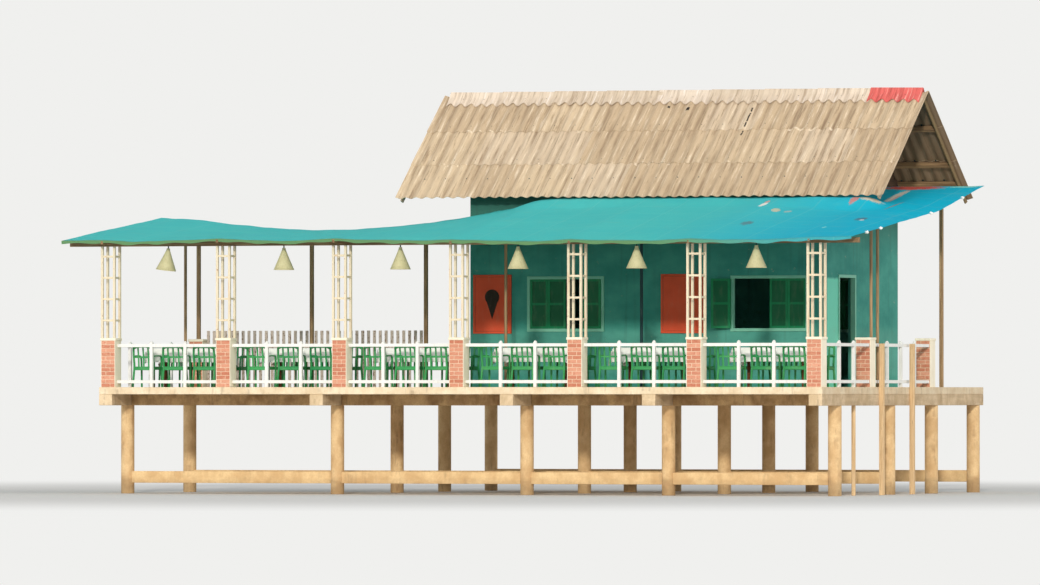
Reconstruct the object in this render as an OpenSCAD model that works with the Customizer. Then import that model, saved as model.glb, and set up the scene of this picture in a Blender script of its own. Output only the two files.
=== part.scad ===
// Riverside house on concrete stilts: a railed terrace under a sheet canopy, and a gabled room behind it.
// Millimetres, +X along the front, +Y from the front into the building, +Z up, feet of the stilts at 0.

/* [Stilts and beams] */
// Height of a stilt from its foot to the underside of the beams
stilt_h = 1725; // [1400:5:2600]
// Diameter of a stilt
stilt_d = 260; // [200:5:320]
// Depth of the beams under the slab
beam_h = 215; // [150:5:350]
// Width of a beam
beam_w = 280; // [240:5:400]
// From the slab's front edge back to the first row of stilts
row_1_back = 1080; // [600:10:1400]
// From the first row of stilts back to the second row
row_2_back = 3050; // [2600:10:3300]
// From the house slab's rear edge forward to the last row of stilts
row_4_inset = 220; // [160:10:400]
// From the first beam line to the second, along the front
span_1 = 4450; // [4000:10:4700]
// From the second beam line to the third
span_2 = 3960; // [3500:10:4200]
// From the third beam line to the fourth
span_3 = 2920; // [2400:10:3200]
// Height of the low ties above the stilts' feet
tie_z = 210; // [100:10:500]
// Depth of the low ties
tie_h = 230; // [120:10:300]
// Width of the low ties
tie_w = 140; // [100:5:200]

/* [Slabs] */
// Thickness of both slabs
slab_t = 140; // [100:5:250]
// How far the slab runs out past the piers
slab_lip = 30; // [10:5:80]
// From the house's front wall forward to the joint between the slabs
slab_joint_out = 100; // [40:10:140]
// How far the house slab runs out behind the rear wall
rear_ledge = 240; // [100:10:400]

/* [Piers and columns] */
// Distance between pier centres along the front
bay_w = 2440; // [2380:10:2600]
// Side of a brick pier
pier_w = 300; // [260:5:340]
// Height of a brick pier without its cap
pier_h = 905; // [850:5:1000]
// Thickness of a pier cap
cap_t = 50; // [30:5:80]
// How far a cap runs out past its pier
cap_lip = 15; // [5:5:40]
// Side of a lattice column's corner posts
lattice_post = 45; // [30:5:60]
// Thickness of a lattice column's rungs
rung_t = 38; // [20:2:50]
// Height of the lowest rungs above the slab
rung_first = 1300; // [1150:10:1400]
// Distance from rung to rung
rung_pitch = 415; // [300:5:500]
// From the front faces back to the centre of the right side's first pier
side_pier_back = 2900; // [2500:10:3000]
// From the right side's first pier to its second, centre to centre
side_pier_pitch = 3460; // [3200:10:3600]

/* [Railings] */
// How far the top rail's upper edge lies below the tops of the brick piers
rail_below = 65; // [20:5:120]
// Height of a rail's section
rail_h = 60; // [40:5:80]
// Thickness of rails and railing posts
rail_t = 60; // [40:5:70]
// Height of the bottom rail's lower edge above the slab
rail_low = 75; // [50:5:200]
// How far the side railings stand back from the piers' outer faces
rail_inset = 20; // [0:5:60]
// How far a railing post stands above the top rail
post_over = 25; // [10:5:60]
// Height of the pickets
picket_h = 1120; // [900:10:1300]
// Width of a picket
picket_w = 60; // [40:5:80]
// Distance from picket to picket
picket_pitch = 125; // [100:5:180]
// Thickness of a picket
picket_t = 20; // [12:2:30]
// Least gap between a picket and a pier's cap
picket_clear = 10; // [5:5:60]

/* [Canopy] */
// Height of the canopy's underside above the slab, over the front beam
canopy_h = 2890; // [2700:10:3000]
// How far the sheet runs out in front of the piers
canopy_front = 300; // [150:10:500]
// How far the sheet runs out past the end columns' centres
canopy_end = 860; // [500:10:1000]
// From the house's front wall forward to the rear rail and its posts
rail_to_house = 350; // [320:10:420]
// How far the sheet runs past the rear rail
canopy_over = 100; // [60:10:120]
// How far the sheet keeps below the roof's eaves at the left tip, at each pier line and at the right tip
eave_gaps = [330, 375, 580, 460, 75, 16, 16, 190, 310];
// How far the side wing's rear edge stands above the tops of the walls
wing_rise = 5; // [0:1:40]
// Gap between the side wing and the house's right wall
wing_clear = 5; // [2:1:40]
// How far the side wing runs back past the second side pier
wing_past = 1040; // [800:10:1200]
// From the side wing's rear edge forward to the post under it
wing_post_in = 100; // [60:10:200]
// Thickness of the sheet with its battens
sheet_t = 10; // [4:1:12]
// How far the sheet sags between two rafters
sheet_sag = 38; // [10:2:42]
// Width of the canopy's rafters and rails
pole_w = 50; // [40:5:70]
// Depth of the canopy's rafters
pole_h = 70; // [60:5:90]
// How deep the rafters are notched over beams and rails
notch = 20; // [10:5:30]
// Depth of the front beam
front_beam_h = 100; // [80:5:150]
// Width of the front beam
front_beam_w = 100; // [80:5:200]
// Side of the square posts at the rear of the terrace
rear_post_w = 70; // [60:5:90]
// Diameter of the thin poles under the rafters
thin_pole_d = 60; // [40:5:70]
// From the rear rail forward to the left thin pole
left_pole_out = 660; // [400:10:900]
// From the piers' front faces back to the middle thin pole
middle_pole_back = 2580; // [2300:10:3000]
// From the right side's first pier back to the first of the two poles there, centre to centre
twin_pole_back = 310; // [240:10:500]
// Distance between those two poles
twin_pole_pitch = 370; // [200:10:500]
// From the house's front wall forward to the dark post
dark_post_out = 1210; // [900:10:1500]

/* [Lamps] */
// Diameter of a lamp shade at its rim
shade_d = 400; // [300:10:450]
// Diameter of a lamp shade at its top
shade_top_d = 60; // [40:5:90]
// Height of a lamp shade
shade_h = 430; // [300:10:480]
// Thickness of a lamp shade
shade_t = 6; // [4:1:8]
// Length of the stem above a shade
stem_l = 40; // [20:5:80]
// Diameter of the stem
stem_d = 24; // [16:2:36]

/* [House] */
// Length of the house along the front
house_w = 7430; // [7300:10:7500]
// Depth of the house from front to rear
house_d = 4260; // [4100:10:4400]
// From the middle of the terrace to the house's left end
house_left = 1640; // [1500:10:1700]
// From the piers' front faces back to the house's front wall
house_back = 4800; // [4790:10:4900]
// Height of the walls above the slab
wall_h = 3930; // [3910:5:3950]
// Thickness of the walls
wall_t = 150; // [120:5:180]
// Height of window sills above the slab
sill_h = 1090; // [900:10:1300]
// Width of a window with its frame
window_w = 1620; // [1500:10:1660]
// Height of a window with its frame
window_h = 1090; // [900:10:1300]
// From the house's left end to the first window's centre
window_1_at = 2020; // [1980:10:2100]
// From the house's right end to the second window's centre
window_2_in = 1140; // [1080:10:1170]
// Width of a window frame's bars
frame_w = 60; // [40:5:80]
// Depth of a window frame from front to rear
frame_d = 100; // [80:5:120]
// How far frames stand out from the wall
frame_out = 20; // [10:5:30]
// Thickness of a window leaf
leaf_t = 36; // [30:2:44]
// Width of a window leaf's bars
leaf_bar = 45; // [35:5:55]
// Thickness of the panels in a window leaf
leaf_web = 12; // [8:2:16]
// Gap between neighbouring leaves
leaf_gap = 3; // [2:1:6]
// Angle between the opened leaves and the wall
leaf_open = 14; // [8:1:30]
// Width of the side doorway
door_w = 1000; // [900:10:1100]
// Height of the side doorway
door_h = 2200; // [2000:10:2400]
// From the house's front wall back to the doorway
door_back = 770; // [600:10:900]
// Width of the door frame's bars
door_bar = 60; // [40:5:80]
// Width of the left red panel
panel_1_w = 810; // [700:10:900]
// Width of the right red panel
panel_2_w = 920; // [800:10:1000]
// Height of the red panels
panel_h = 1160; // [1000:10:1300]
// Thickness of the red panels
panel_t = 30; // [20:2:40]
// From the house's left end to the left red panel
panel_1_in = 70; // [40:5:120]
// From the right red panel to the second window
panel_2_out = 530; // [470:10:600]
// Width of the border round a red panel
panel_border = 45; // [30:5:60]
// How deep a red panel is sunk inside its border
panel_sunk = 8; // [4:1:12]

/* [Roof] */
// Height of the ridge above the tops of the walls, to the top of the sheets
ridge_rise = 1900; // [1780:10:2050]
// How far the eaves lie below the tops of the walls, to the top of the sheets
eave_below = 190; // [170:5:195]
// How far the eaves run out from the walls
eave_out = 500; // [480:10:520]
// How far the roof runs out past the gable walls
verge_out = 1290; // [900:10:1300]
// Thickness of the roof sheets with their waves, measured upright
sheets_t = 60; // [50:2:70]
// Width of a wave in the roof sheets
wave_w = 222; // [190:2:260]
// Thickness of a roof sheet's own stuff
ply_t = 8; // [6:1:10]
// How far a course of sheets runs up under the next one, measured level
sheet_lap = 90; // [70:5:120]
// Depth of the purlins, measured upright
purlin_h = 75; // [60:5:90]
// Width of the purlins
purlin_w = 60; // [50:5:80]
// Depth of the roof rafters, measured upright
rafter_h = 130; // [120:5:140]
// Width of the roof rafters
rafter_w = 60; // [50:5:80]
// How far the rafters run out from the walls
rafter_tail = 100; // [60:5:120]
// Thickness of the gable boards
gable_t = 40; // [25:5:60]
// Thickness of the barge boards
barge_t = 25; // [20:1:40]
// Depth of the barge boards, measured upright
barge_h = 130; // [100:5:135]
// How far a ridge cap's wing reaches down each side, measured level
cap_wing = 260; // [200:10:350]
// Thickness of the ridge caps, measured upright
ridge_cap_t = 14; // [10:1:20]
// Diameter of the roll along the top of a ridge cap
cap_roll_d = 90; // [80:5:120]
// Length of a pale ridge cap
cap_l = 1100; // [900:10:1300]
// Length of the collar where a ridge cap laps over the one before
cap_lap = 90; // [60:5:120]
// Length of the red ridge caps at the right end
red_caps_l = 1200; // [800:10:1600]

/* [Terrace furniture] */
// Length of a table along the terrace
table_l = 1500; // [1300:10:1600]
// Width of a table
table_w = 750; // [700:10:900]
// Height of a table
table_h = 745; // [700:5:780]
// Thickness of a table top
table_t = 25; // [18:1:40]
// Side of a table leg
table_leg = 50; // [40:5:60]
// From a table's edges in to its legs
leg_inset = 60; // [20:5:100]
// Height of a tablecloth's hanging edge
cloth_h = 270; // [150:10:350]
// Thickness of a tablecloth
cloth_t = 6; // [3:1:8]
// From the piers' front faces back to the tables
table_back = 860; // [800:10:1000]
// Width of a chair
chair_w = 470; // [440:5:520]
// Depth of a chair
chair_d = 430; // [400:5:460]
// Height of a chair's seat
seat_h = 400; // [380:5:430]
// Height of a chair's arms
arm_h = 620; // [590:5:650]
// Height of a chair's back
chair_h = 810; // [760:5:850]
// Width of a chair's legs, arms and back posts
chair_bar = 36; // [26:2:40]
// Thickness of a chair's seat
seat_t = 22; // [14:1:26]
// Thickness of a chair's back
chair_back_t = 18; // [12:1:22]
// How far a chair's back leans and its rear legs splay
chair_lean = 60; // [40:5:80]
// From chair to chair along a table, centre to centre
chair_pitch = 650; // [600:5:700]
// Gap between a chair and its table
chair_gap = 60; // [20:5:100]

/* [Side posts] */
// Side of the timber posts outside the right edge
timber_w = 90; // [70:5:110]
// From the front faces back to the first timber post
timber_1 = 3200; // [3100:10:3300]
// From the front faces back to the second timber post
timber_2 = 4950; // [4800:10:5100]
// Diameter of the prop under the right edge
prop_d = 80; // [60:5:120]
// From the front faces back to the prop
prop_back = 2100; // [1900:10:2300]

/* [Hidden] */
$fn = 48;

bays = len(eave_gaps) - 3;
deck = stilt_h + beam_h + slab_t;
beam_z = stilt_h + beam_h;
end_pier_x = bays * bay_w / 2;
slab_half = end_pier_x + pier_w / 2 + slab_lip;
pier_y = pier_w / 2;
pier_top = deck + pier_h + cap_t;
rail_top = pier_h - rail_below;
side_pier_1 = side_pier_back;
side_pier_2 = side_pier_back + side_pier_pitch;
rear_rail_back = house_back - rail_to_house;
terrace_d = house_back - slab_joint_out;
house_x0 = -house_left;
house_x1 = house_x0 + house_w;
house_y1 = house_back + house_d;
slab_rear = house_y1 + rear_ledge;
ridge_y = house_back + house_d / 2;
eave_y = house_back - eave_out;
far_eave_y = house_y1 + eave_out;
ridge_h = wall_h + ridge_rise;
eave_h = wall_h - eave_below;
verge_x0 = house_x0 - verge_out;
verge_x1 = house_x1 + verge_out;
roof_slope = (ridge_h - eave_h) / (ridge_y - eave_y);
roof_angle = atan(roof_slope);

canopy_rear = rear_rail_back + canopy_over;
canopy_x = end_pier_x + canopy_end;
wing_x0 = house_x1 + wing_clear;
wing_back = side_pier_2 + wing_past;
wing_h = wall_h + wing_rise;

// Everything is modelled from the piers' front faces, then moved so that the origin is under the middle.
middle_y = (far_eave_y - canopy_front) / 2;

line_x = [
  beam_w / 2 - slab_half,
  beam_w / 2 - slab_half + span_1,
  beam_w / 2 - slab_half + span_1 + span_2,
  beam_w / 2 - slab_half + span_1 + span_2 + span_3,
  slab_half - beam_w / 2
];
house_slab_x0 = line_x[1] - beam_w / 2;
row_1 = row_1_back - slab_lip;
row_2 = row_1 + row_2_back;
row_4 = slab_rear - row_4_inset;
row_3 = (row_2 + row_4) / 2;

// Centre of pier i along the front
function pier_x(i) = (i - bays / 2) * bay_w;

// Height of the roof's upper face
function roof_z(y) = deck + ridge_h - abs(y - ridge_y) * roof_slope;

// Height of the canopy's underside: straight rafters rise from the front beam to pass under the eaves
eave_table = [for (i = [0:bays + 2])
  [i == 0 ? -canopy_x : i == bays + 2 ? canopy_x : pier_x(i - 1),
   eave_h - sheets_t - sheet_t - eave_gaps[i]]];
function canopy_z(x, y) =
  deck + canopy_h + (y - pier_y) * (lookup(x, eave_table) - canopy_h) / (eave_y - pier_y);

// How far the sheet hangs below its rafters at x
function sag(x) = let (u = (x - pier_x(0)) / bay_w, f = u - floor(u))
  (x < pier_x(0) || x > pier_x(bays)) ? 0 : sheet_sag * 4 * f * (1 - f);

// Height of the side wing's underside, from the sheet's rear edge to the wing's own
function wing_z(x, y) = let (z0 = canopy_z(x, canopy_rear), f = (y - canopy_rear) / (wing_back - canopy_rear))
  z0 + (deck + wing_h - z0) * f;

module placed() translate([0, -middle_y, 0]) children();

module block(x, y, z) {
  translate([x[0], y[0], z[0]])
    cube([x[1] - x[0], y[1] - y[0], z[1] - z[0]]);
}

// A flat outline of (Y, Z) points, drawn out along X
module along_x(x, points) {
  translate([x[0], 0, 0])
    rotate([90, 0, 90])
      linear_extrude(x[1] - x[0]) polygon(points);
}

// A flat outline of (X, Z) points, drawn out along Y
module along_y(y, points) {
  translate([0, y[1], 0])
    rotate([90, 0, 0])
      linear_extrude(y[1] - y[0]) polygon(points);
}

// Stilts and beams
module stilt_row(y, lines) {
  for (i = lines)
    translate([line_x[i], y, 0]) cylinder(d = stilt_d, h = stilt_h);
}

module front_stilts() color("tan") placed() stilt_row(row_1, [0:4]);

module rear_stilts() color("tan") placed() {
  stilt_row(row_2, [0:4]);
  stilt_row(row_3, [1:4]);
  stilt_row(row_4, [1:4]);
}

// Low ties run from stilt to stilt; their ends are cut to the stilts' round faces.
module tie_beams() color("burlywood") placed()
  for (row = [[row_1, 0], [row_2, 0], [row_4, 1]], i = [row[1]:3])
    difference() {
      block([line_x[i], line_x[i + 1]], [row[0] - tie_w / 2, row[0] + tie_w / 2], [tie_z, tie_z + tie_h]);
      for (k = [i, i + 1])
        translate([line_x[k], row[0], 0]) cylinder(d = stilt_d, h = stilt_h);
    }

module cross_beams() color("wheat") placed()
  for (i = [0:4])
    block([line_x[i] - beam_w / 2, line_x[i] + beam_w / 2],
          [-slab_lip, i == 0 ? terrace_d : slab_rear], [stilt_h, beam_z]);

module long_beams() color("tan") placed()
  for (row = [[row_1, 0], [row_2, 0], [row_3, 1], [row_4, 1]], i = [row[1]:3])
    block([line_x[i] + beam_w / 2, line_x[i + 1] - beam_w / 2],
          [row[0] - beam_w / 2, row[0] + beam_w / 2], [stilt_h, beam_z]);

// Slabs
module terrace_slab() color("wheat") placed()
  block([-slab_half, slab_half], [-slab_lip, terrace_d], [beam_z, deck]);

module house_slab() color("wheat") placed()
  block([house_slab_x0, slab_half], [terrace_d, slab_rear], [beam_z, deck]);

// Piers and columns
side_piers_at = [[end_pier_x, side_pier_1], [end_pier_x, side_pier_2], [-end_pier_x, rear_rail_back]];

module pier(x, y)
  block([x - pier_w / 2, x + pier_w / 2], [y - pier_w / 2, y + pier_w / 2], [deck, deck + pier_h]);

module cap(x, y) {
  r = pier_w / 2 + cap_lip;
  block([x - r, x + r], [y - r, y + r], [deck + pier_h, pier_top]);
}

module brick_piers() color("salmon") placed() {
  for (i = [0:bays]) pier(pier_x(i), pier_y);
  for (p = side_piers_at) pier(p[0], p[1]);
}

module pier_caps() color("linen") placed() {
  for (i = [0:bays]) cap(pier_x(i), pier_y);
  for (p = side_piers_at) cap(p[0], p[1]);
}

front_beam_z = deck + canopy_h - pole_h + notch;
column_top = front_beam_z - front_beam_h;

// One column: four corner posts tied by square rings of rungs
module lattice_column(x) {
  h = column_top - pier_top;
  far = pier_w - lattice_post;
  translate([x - pier_w / 2, 0, pier_top]) {
    for (dx = [0, far], dy = [0, far])
      translate([dx, dy, 0]) cube([lattice_post, lattice_post, h]);
    for (z = [deck + rung_first : rung_pitch : column_top - rung_t])
      translate([0, 0, z - rung_t / 2 - pier_top])
        difference() {
          translate([lattice_post / 4, lattice_post / 4, 0])
            cube([pier_w - lattice_post / 2, pier_w - lattice_post / 2, rung_t]);
          translate([lattice_post * 3 / 4, lattice_post * 3 / 4, -1])
            cube([pier_w - lattice_post * 3 / 2, pier_w - lattice_post * 3 / 2, rung_t + 2]);
        }
  }
}

module lattice_columns() color("floralwhite") placed()
  for (i = [0:bays]) lattice_column(pier_x(i));

// Railings: a panel runs along X from 0 to l, with its posts evenly spaced
module railing_panel(l, posts) {
  for (z = [rail_low, rail_top - rail_h])
    translate([0, -rail_t / 2, z]) cube([l, rail_t, rail_h]);
  for (k = [1:posts])
    translate([l * k / (posts + 1), 0, 0]) {
      translate([-rail_t / 2, -rail_t / 2, 0]) cube([rail_t, rail_t, rail_top + post_over]);
      translate([0, 0, rail_top + post_over]) intersection() {
        sphere(d = rail_t, $fn = 24);
        translate([-rail_t, -rail_t, 0]) cube([2 * rail_t, 2 * rail_t, rail_t]);
      }
    }
}

module front_railing() color("white") placed()
  for (i = [0:bays - 1])
    translate([pier_x(i) + pier_w / 2, pier_y, deck]) railing_panel(bay_w - pier_w, 2);

// Side railings keep to the outer part of the piers, clear of the poles under the rafters.
side_rail_x = end_pier_x + pier_w / 2 - rail_t / 2 - rail_inset;

module side_panel(x, y, posts)
  translate([x, y[0], deck]) rotate([0, 0, 90]) railing_panel(y[1] - y[0], posts);

module side_railings() color("white") placed() {
  side_panel(-side_rail_x, [pier_w, rear_rail_back - pier_w / 2], 3);
  side_panel(side_rail_x, [pier_w, side_pier_1 - pier_w / 2], 2);
  side_panel(side_rail_x, [side_pier_1 + pier_w / 2, side_pier_2 - pier_w / 2], 3);
}

// Pickets close the rear of the terrace between the posts there; the end ones clear the piers' caps.
module picket_panel(x0, x1) {
  l = x1 - x0;
  n = floor((l - picket_w - 2 * (cap_lip + picket_clear)) / picket_pitch);
  start = (l - n * picket_pitch - picket_w) / 2;
  translate([x0, rear_rail_back, deck]) {
    for (z = [rail_low, rail_top - rail_h])
      translate([0, 0, z]) cube([l, rail_t / 2, rail_h]);
    for (k = [0:n])
      translate([start + k * picket_pitch, -picket_t, 0]) linear_extrude(picket_h)
        square([picket_w, picket_t]);
  }
}

module picket_fence() color("white") placed() {
  picket_panel(pier_x(0) + pier_w / 2, pier_x(1) - rear_post_w / 2);
  picket_panel(pier_x(1) + rear_post_w / 2, pier_x(2) - rear_post_w / 2);
}

module timber_posts() color("tan") placed() {
  for (y = [timber_1, timber_2])
    block([slab_half, slab_half + timber_w], [y - timber_w / 2, y + timber_w / 2], [0, deck + rail_top]);
  translate([line_x[4], prop_back, 0]) cylinder(d = prop_d, h = stilt_h);
}

// Canopy frame
module canopy_front_beam() color("peru") placed()
  block([-canopy_x, canopy_x], [pier_y - front_beam_w / 2, pier_y + front_beam_w / 2],
        [column_top, front_beam_z]);

rail_line = [for (p = eave_table) if (p[0] < pier_x(3)) [p[0], canopy_z(p[0], rear_rail_back)],
             [pier_x(3), canopy_z(pier_x(3), rear_rail_back)]];

// The rear rail drops from the left post to the next and climbs to the rafter in front of the house.
module rear_rail_form(top, bottom, y)
  along_y(y, concat([for (p = rail_line) [p[0], p[1] - top]],
                    [for (i = [len(rail_line) - 1:-1:0]) [rail_line[i][0], rail_line[i][1] - bottom]]));

rear_rail_y = [rear_rail_back - pole_w / 2, rear_rail_back + pole_w / 2];

module canopy_rear_rail() color("peru") placed()
  rear_rail_form(pole_h - notch, 2 * pole_h - notch, rear_rail_y);

// The upper face of every rafter lies under the sheet; top and bottom give a band below that face.
module rafter_band(i, top, bottom, half_w) {
  x = pier_x(i);
  on_house = x > house_x0 && x < house_x1;
  y1 = on_house ? house_back : i == bays ? wing_back : canopy_rear;
  line = i == bays
    ? [[-canopy_front, canopy_z(x, -canopy_front)], [canopy_rear, canopy_z(x, canopy_rear)],
       [y1, wing_z(x, y1)]]
    : [[-canopy_front, canopy_z(x, -canopy_front)], [y1, canopy_z(x, y1)]];
  along_x([x - half_w, x + half_w],
          concat([for (p = line) [p[0], p[1] - top]],
                 [for (k = [len(line) - 1:-1:0]) [line[k][0], line[k][1] - bottom]]));
}

module canopy_rafters() color("peru") placed()
  for (i = [0:bays])
    difference() {
      rafter_band(i, 0, pole_h, pole_w / 2);
      block([-canopy_x, canopy_x], [pier_y - front_beam_w / 2, pier_y + front_beam_w / 2],
            [column_top, front_beam_z]);
      rear_rail_form(pole_h - notch, 2 * pole_h, rear_rail_y);
    }

module thin_pole(i, y, d)
  difference() {
    translate([pier_x(i), y, deck]) cylinder(d = d, h = wing_h);
    rafter_band(i, -canopy_h, pole_h, d);
  }

// Square posts at the rear of the terrace, cut to the rail above them, one under the wing's rear corner,
// and thin round poles under the rafters
module canopy_posts() color("peru") placed() {
  r = rear_post_w / 2;
  wing_post_y = wing_back - wing_post_in;
  for (i = [0:2])
    difference() {
      block([pier_x(i) - r, pier_x(i) + r], [rear_rail_back - r, rear_rail_back + r],
            [i == 0 ? pier_top : deck, deck + wing_h]);
      rear_rail_form(-canopy_h, 2 * pole_h - notch, [rear_rail_back - 2 * r, rear_rail_back + 2 * r]);
    }
  difference() {
    block([end_pier_x - r, end_pier_x + r], [wing_post_y - r, wing_post_y + r], [deck, deck + wing_h]);
    rafter_band(bays, -canopy_h, pole_h, 2 * r);
  }
  thin_pole(0, rear_rail_back - left_pole_out, thin_pole_d);
  thin_pole(3, middle_pole_back, thin_pole_d);
  for (k = [0, 1])
    thin_pole(bays, side_pier_1 + twin_pole_back + k * twin_pole_pitch, thin_pole_d);
}

module dark_post() color("darkslategray") placed()
  thin_pole(4, house_back - dark_post_out, thin_pole_d);

// A sheet over a grid: under is a grid of points, and the upper face is the same grid lifted by t.
module sheet_solid(under, t) {
  rows = len(under);
  cols = len(under[0]);
  n = rows * cols;
  flat = [for (r = under, p = r) p];
  top = [for (p = flat) [p[0], p[1], p[2] + t]];
  faces_top = [for (r = [0:rows - 2], c = [0:cols - 2], k = [0:1])
    let (a = n + r * cols + c) k == 0 ? [a, a + cols, a + 1] : [a + 1, a + cols, a + cols + 1]];
  faces_under = [for (r = [0:rows - 2], c = [0:cols - 2], k = [0:1])
    let (a = r * cols + c) k == 0 ? [a, a + 1, a + cols] : [a + 1, a + cols + 1, a + cols]];
  faces_ends = [for (r = [0:rows - 2], s = [0:1])
    let (a = r * cols + s * (cols - 1))
      s == 0 ? [a, a + cols, a + cols + n, a + n] : [a, a + n, a + cols + n, a + cols]];
  faces_sides = [for (c = [0:cols - 2], s = [0:1])
    let (a = s * (rows - 1) * cols + c)
      s == 0 ? [a, a + n, a + 1 + n, a + 1] : [a, a + 1, a + 1 + n, a + n]];
  polyhedron(concat(flat, top), concat(faces_top, faces_under, faces_ends, faces_sides));
}

// Columns of the sheets' grids as [x, x that gives the height]: the sheet lies flat across each rafter.
sheet_columns = concat(
  [[-canopy_x, -canopy_x]],
  [for (i = [0:bays], side = [-1, 1]) each concat(
    [[pier_x(i) + side * pole_w / 2, pier_x(i)]],
    [for (k = side > 0 && i < bays ? [1:3] : []) let (x = pier_x(i) + k * bay_w / 4) [x, x]])],
  [[canopy_x, canopy_x]]);

module canopy_sheet() color("mediumturquoise") placed()
  sheet_solid([for (y = [-canopy_front, pier_y, canopy_rear / 2, canopy_rear])
                [for (c = sheet_columns) [c[0], y, canopy_z(c[1], y) - sag(c[1])]]], sheet_t);

wing_columns = concat([[wing_x0, wing_x0]], [for (c = sheet_columns) if (c[0] > wing_x0 + pole_w) c]);

module canopy_wing() color("deepskyblue") placed()
  sheet_solid([for (k = [0:2])
                let (y = canopy_rear + k * (wing_back - canopy_rear) / 2)
                  [for (c = wing_columns) [c[0], y, wing_z(c[1], y) - sag(c[1]) * (2 - k) / 2]]], sheet_t);

// Lamps
shade_z = column_top - stem_l - shade_h;

module lamp_shades() color("ivory") placed()
  for (i = [0:bays - 1])
    translate([pier_x(i) + bay_w / 2, pier_y, shade_z])
      difference() {
        cylinder(d1 = shade_d, d2 = shade_top_d, h = shade_h);
        translate([0, 0, -shade_t])
          cylinder(d1 = shade_d - shade_t, d2 = shade_top_d - shade_t, h = shade_h);
      }

module lamp_stems() color("gray") placed()
  for (i = [0:bays - 1])
    translate([pier_x(i) + bay_w / 2, pier_y, shade_z + shade_h]) cylinder(d = stem_d, h = stem_l);

// House walls
window_at = [window_1_at, house_w - window_2_in];

module window_holes(y0, y1)
  for (a = window_at)
    block([house_x0 + a - window_w / 2, house_x0 + a + window_w / 2], [y0, y1],
          [deck + sill_h, deck + sill_h + window_h]);

module front_wall() color("cadetblue") placed()
  difference() {
    block([house_x0, house_x1], [house_back, house_back + wall_t], [deck, deck + wall_h]);
    window_holes(house_back - 1, house_back + wall_t + 1);
  }

module rear_wall() color("cadetblue") placed()
  difference() {
    block([house_x0, house_x1], [house_y1 - wall_t, house_y1], [deck, deck + wall_h]);
    window_holes(house_y1 - wall_t - 1, house_y1 + 1);
  }

module left_wall() color("cadetblue") placed()
  block([house_x0, house_x0 + wall_t], [house_back + wall_t, house_y1 - wall_t], [deck, deck + wall_h]);

door_y0 = house_back + door_back;

module right_wall_front() color("cadetblue") placed()
  block([house_x1 - wall_t, house_x1], [house_back + wall_t, door_y0], [deck, deck + wall_h]);

module right_wall_rear() color("cadetblue") placed()
  block([house_x1 - wall_t, house_x1], [door_y0 + door_w, house_y1 - wall_t], [deck, deck + wall_h]);

module right_wall_head() color("cadetblue") placed()
  block([house_x1 - wall_t, house_x1], [door_y0, door_y0 + door_w], [deck + door_h, deck + wall_h]);

module gable(x0, x1)
  along_x([x0, x1], [
    [house_back, deck + wall_h],
    [house_y1, deck + wall_h],
    [house_y1, roof_z(house_y1) - sheets_t - purlin_h],
    [ridge_y, roof_z(ridge_y) - sheets_t - purlin_h],
    [house_back, roof_z(house_back) - sheets_t - purlin_h]
  ]);

module gable_boards() color("saddlebrown") placed() {
  gable(house_x0, house_x0 + gable_t);
  gable(house_x1 - gable_t, house_x1);
}

module door_frame() color("darkslategray") placed()
  difference() {
    block([house_x1 - frame_d + frame_out, house_x1 + frame_out], [door_y0, door_y0 + door_w],
          [deck, deck + door_h]);
    block([house_x1 - frame_d, house_x1 + frame_out + 1], [door_y0 + door_bar, door_y0 + door_w - door_bar],
          [deck - 1, deck + door_h - door_bar]);
  }

// Windows: a frame stands in its hole, and four leaves fill it or stand open.
leaf_w = (window_w - 2 * frame_w - 3 * leaf_gap) / 4;
leaf_h = window_h - 2 * frame_w;

module window_frame(x, y)
  difference() {
    block([x - window_w / 2, x + window_w / 2], [y, y + frame_d], [deck + sill_h, deck + sill_h + window_h]);
    block([x - window_w / 2 + frame_w, x + window_w / 2 - frame_w], [y - 1, y + frame_d + 1],
          [deck + sill_h + frame_w, deck + sill_h + window_h - frame_w]);
  }

module window_frames() color("mediumaquamarine") placed()
  for (a = window_at) {
    window_frame(house_x0 + a, house_back - frame_out);
    window_frame(house_x0 + a, house_y1 + frame_out - frame_d);
  }

// One leaf from its hinge side: bars round two sunk panels on both faces
module leaf() {
  panel_h_in = (leaf_h - 3 * leaf_bar) / 2;
  sunk = (leaf_t - leaf_web) / 2;
  difference() {
    cube([leaf_w, leaf_t, leaf_h]);
    for (z = [leaf_bar, 2 * leaf_bar + panel_h_in], y = [-1, leaf_t - sunk])
      translate([leaf_bar, y, z]) cube([leaf_w - 2 * leaf_bar, sunk + 1, panel_h_in]);
  }
}

// Two leaves folded on each other, with a pair of hinges between them that starts at x
module folded_pair(x) {
  hinge_h = 60;
  leaf();
  translate([0, leaf_t + leaf_gap, 0]) leaf();
  for (z = [leaf_h / 4, leaf_h * 3 / 4])
    translate([x, leaf_t - 1, z - hinge_h / 2]) cube([leaf_bar, leaf_gap + 2, hinge_h]);
}

// The place of leaf k in the window whose centre is at x
module leaf_place(x, y, k)
  translate([x - window_w / 2 + frame_w + k * (leaf_w + leaf_gap), y, deck + sill_h + frame_w]) children();

module closed_leaves(x, y, which) for (k = which) leaf_place(x, y, k) leaf();

// A pair folded out of the window, and the strip that hangs it on the frame
module opened_leaves() {
  translate([0, -leaf_t, 0]) cube([leaf_t / 3, leaf_t, leaf_h]);
  rotate([0, 0, 180 + leaf_open]) folded_pair(leaf_w - leaf_bar);
}

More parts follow.
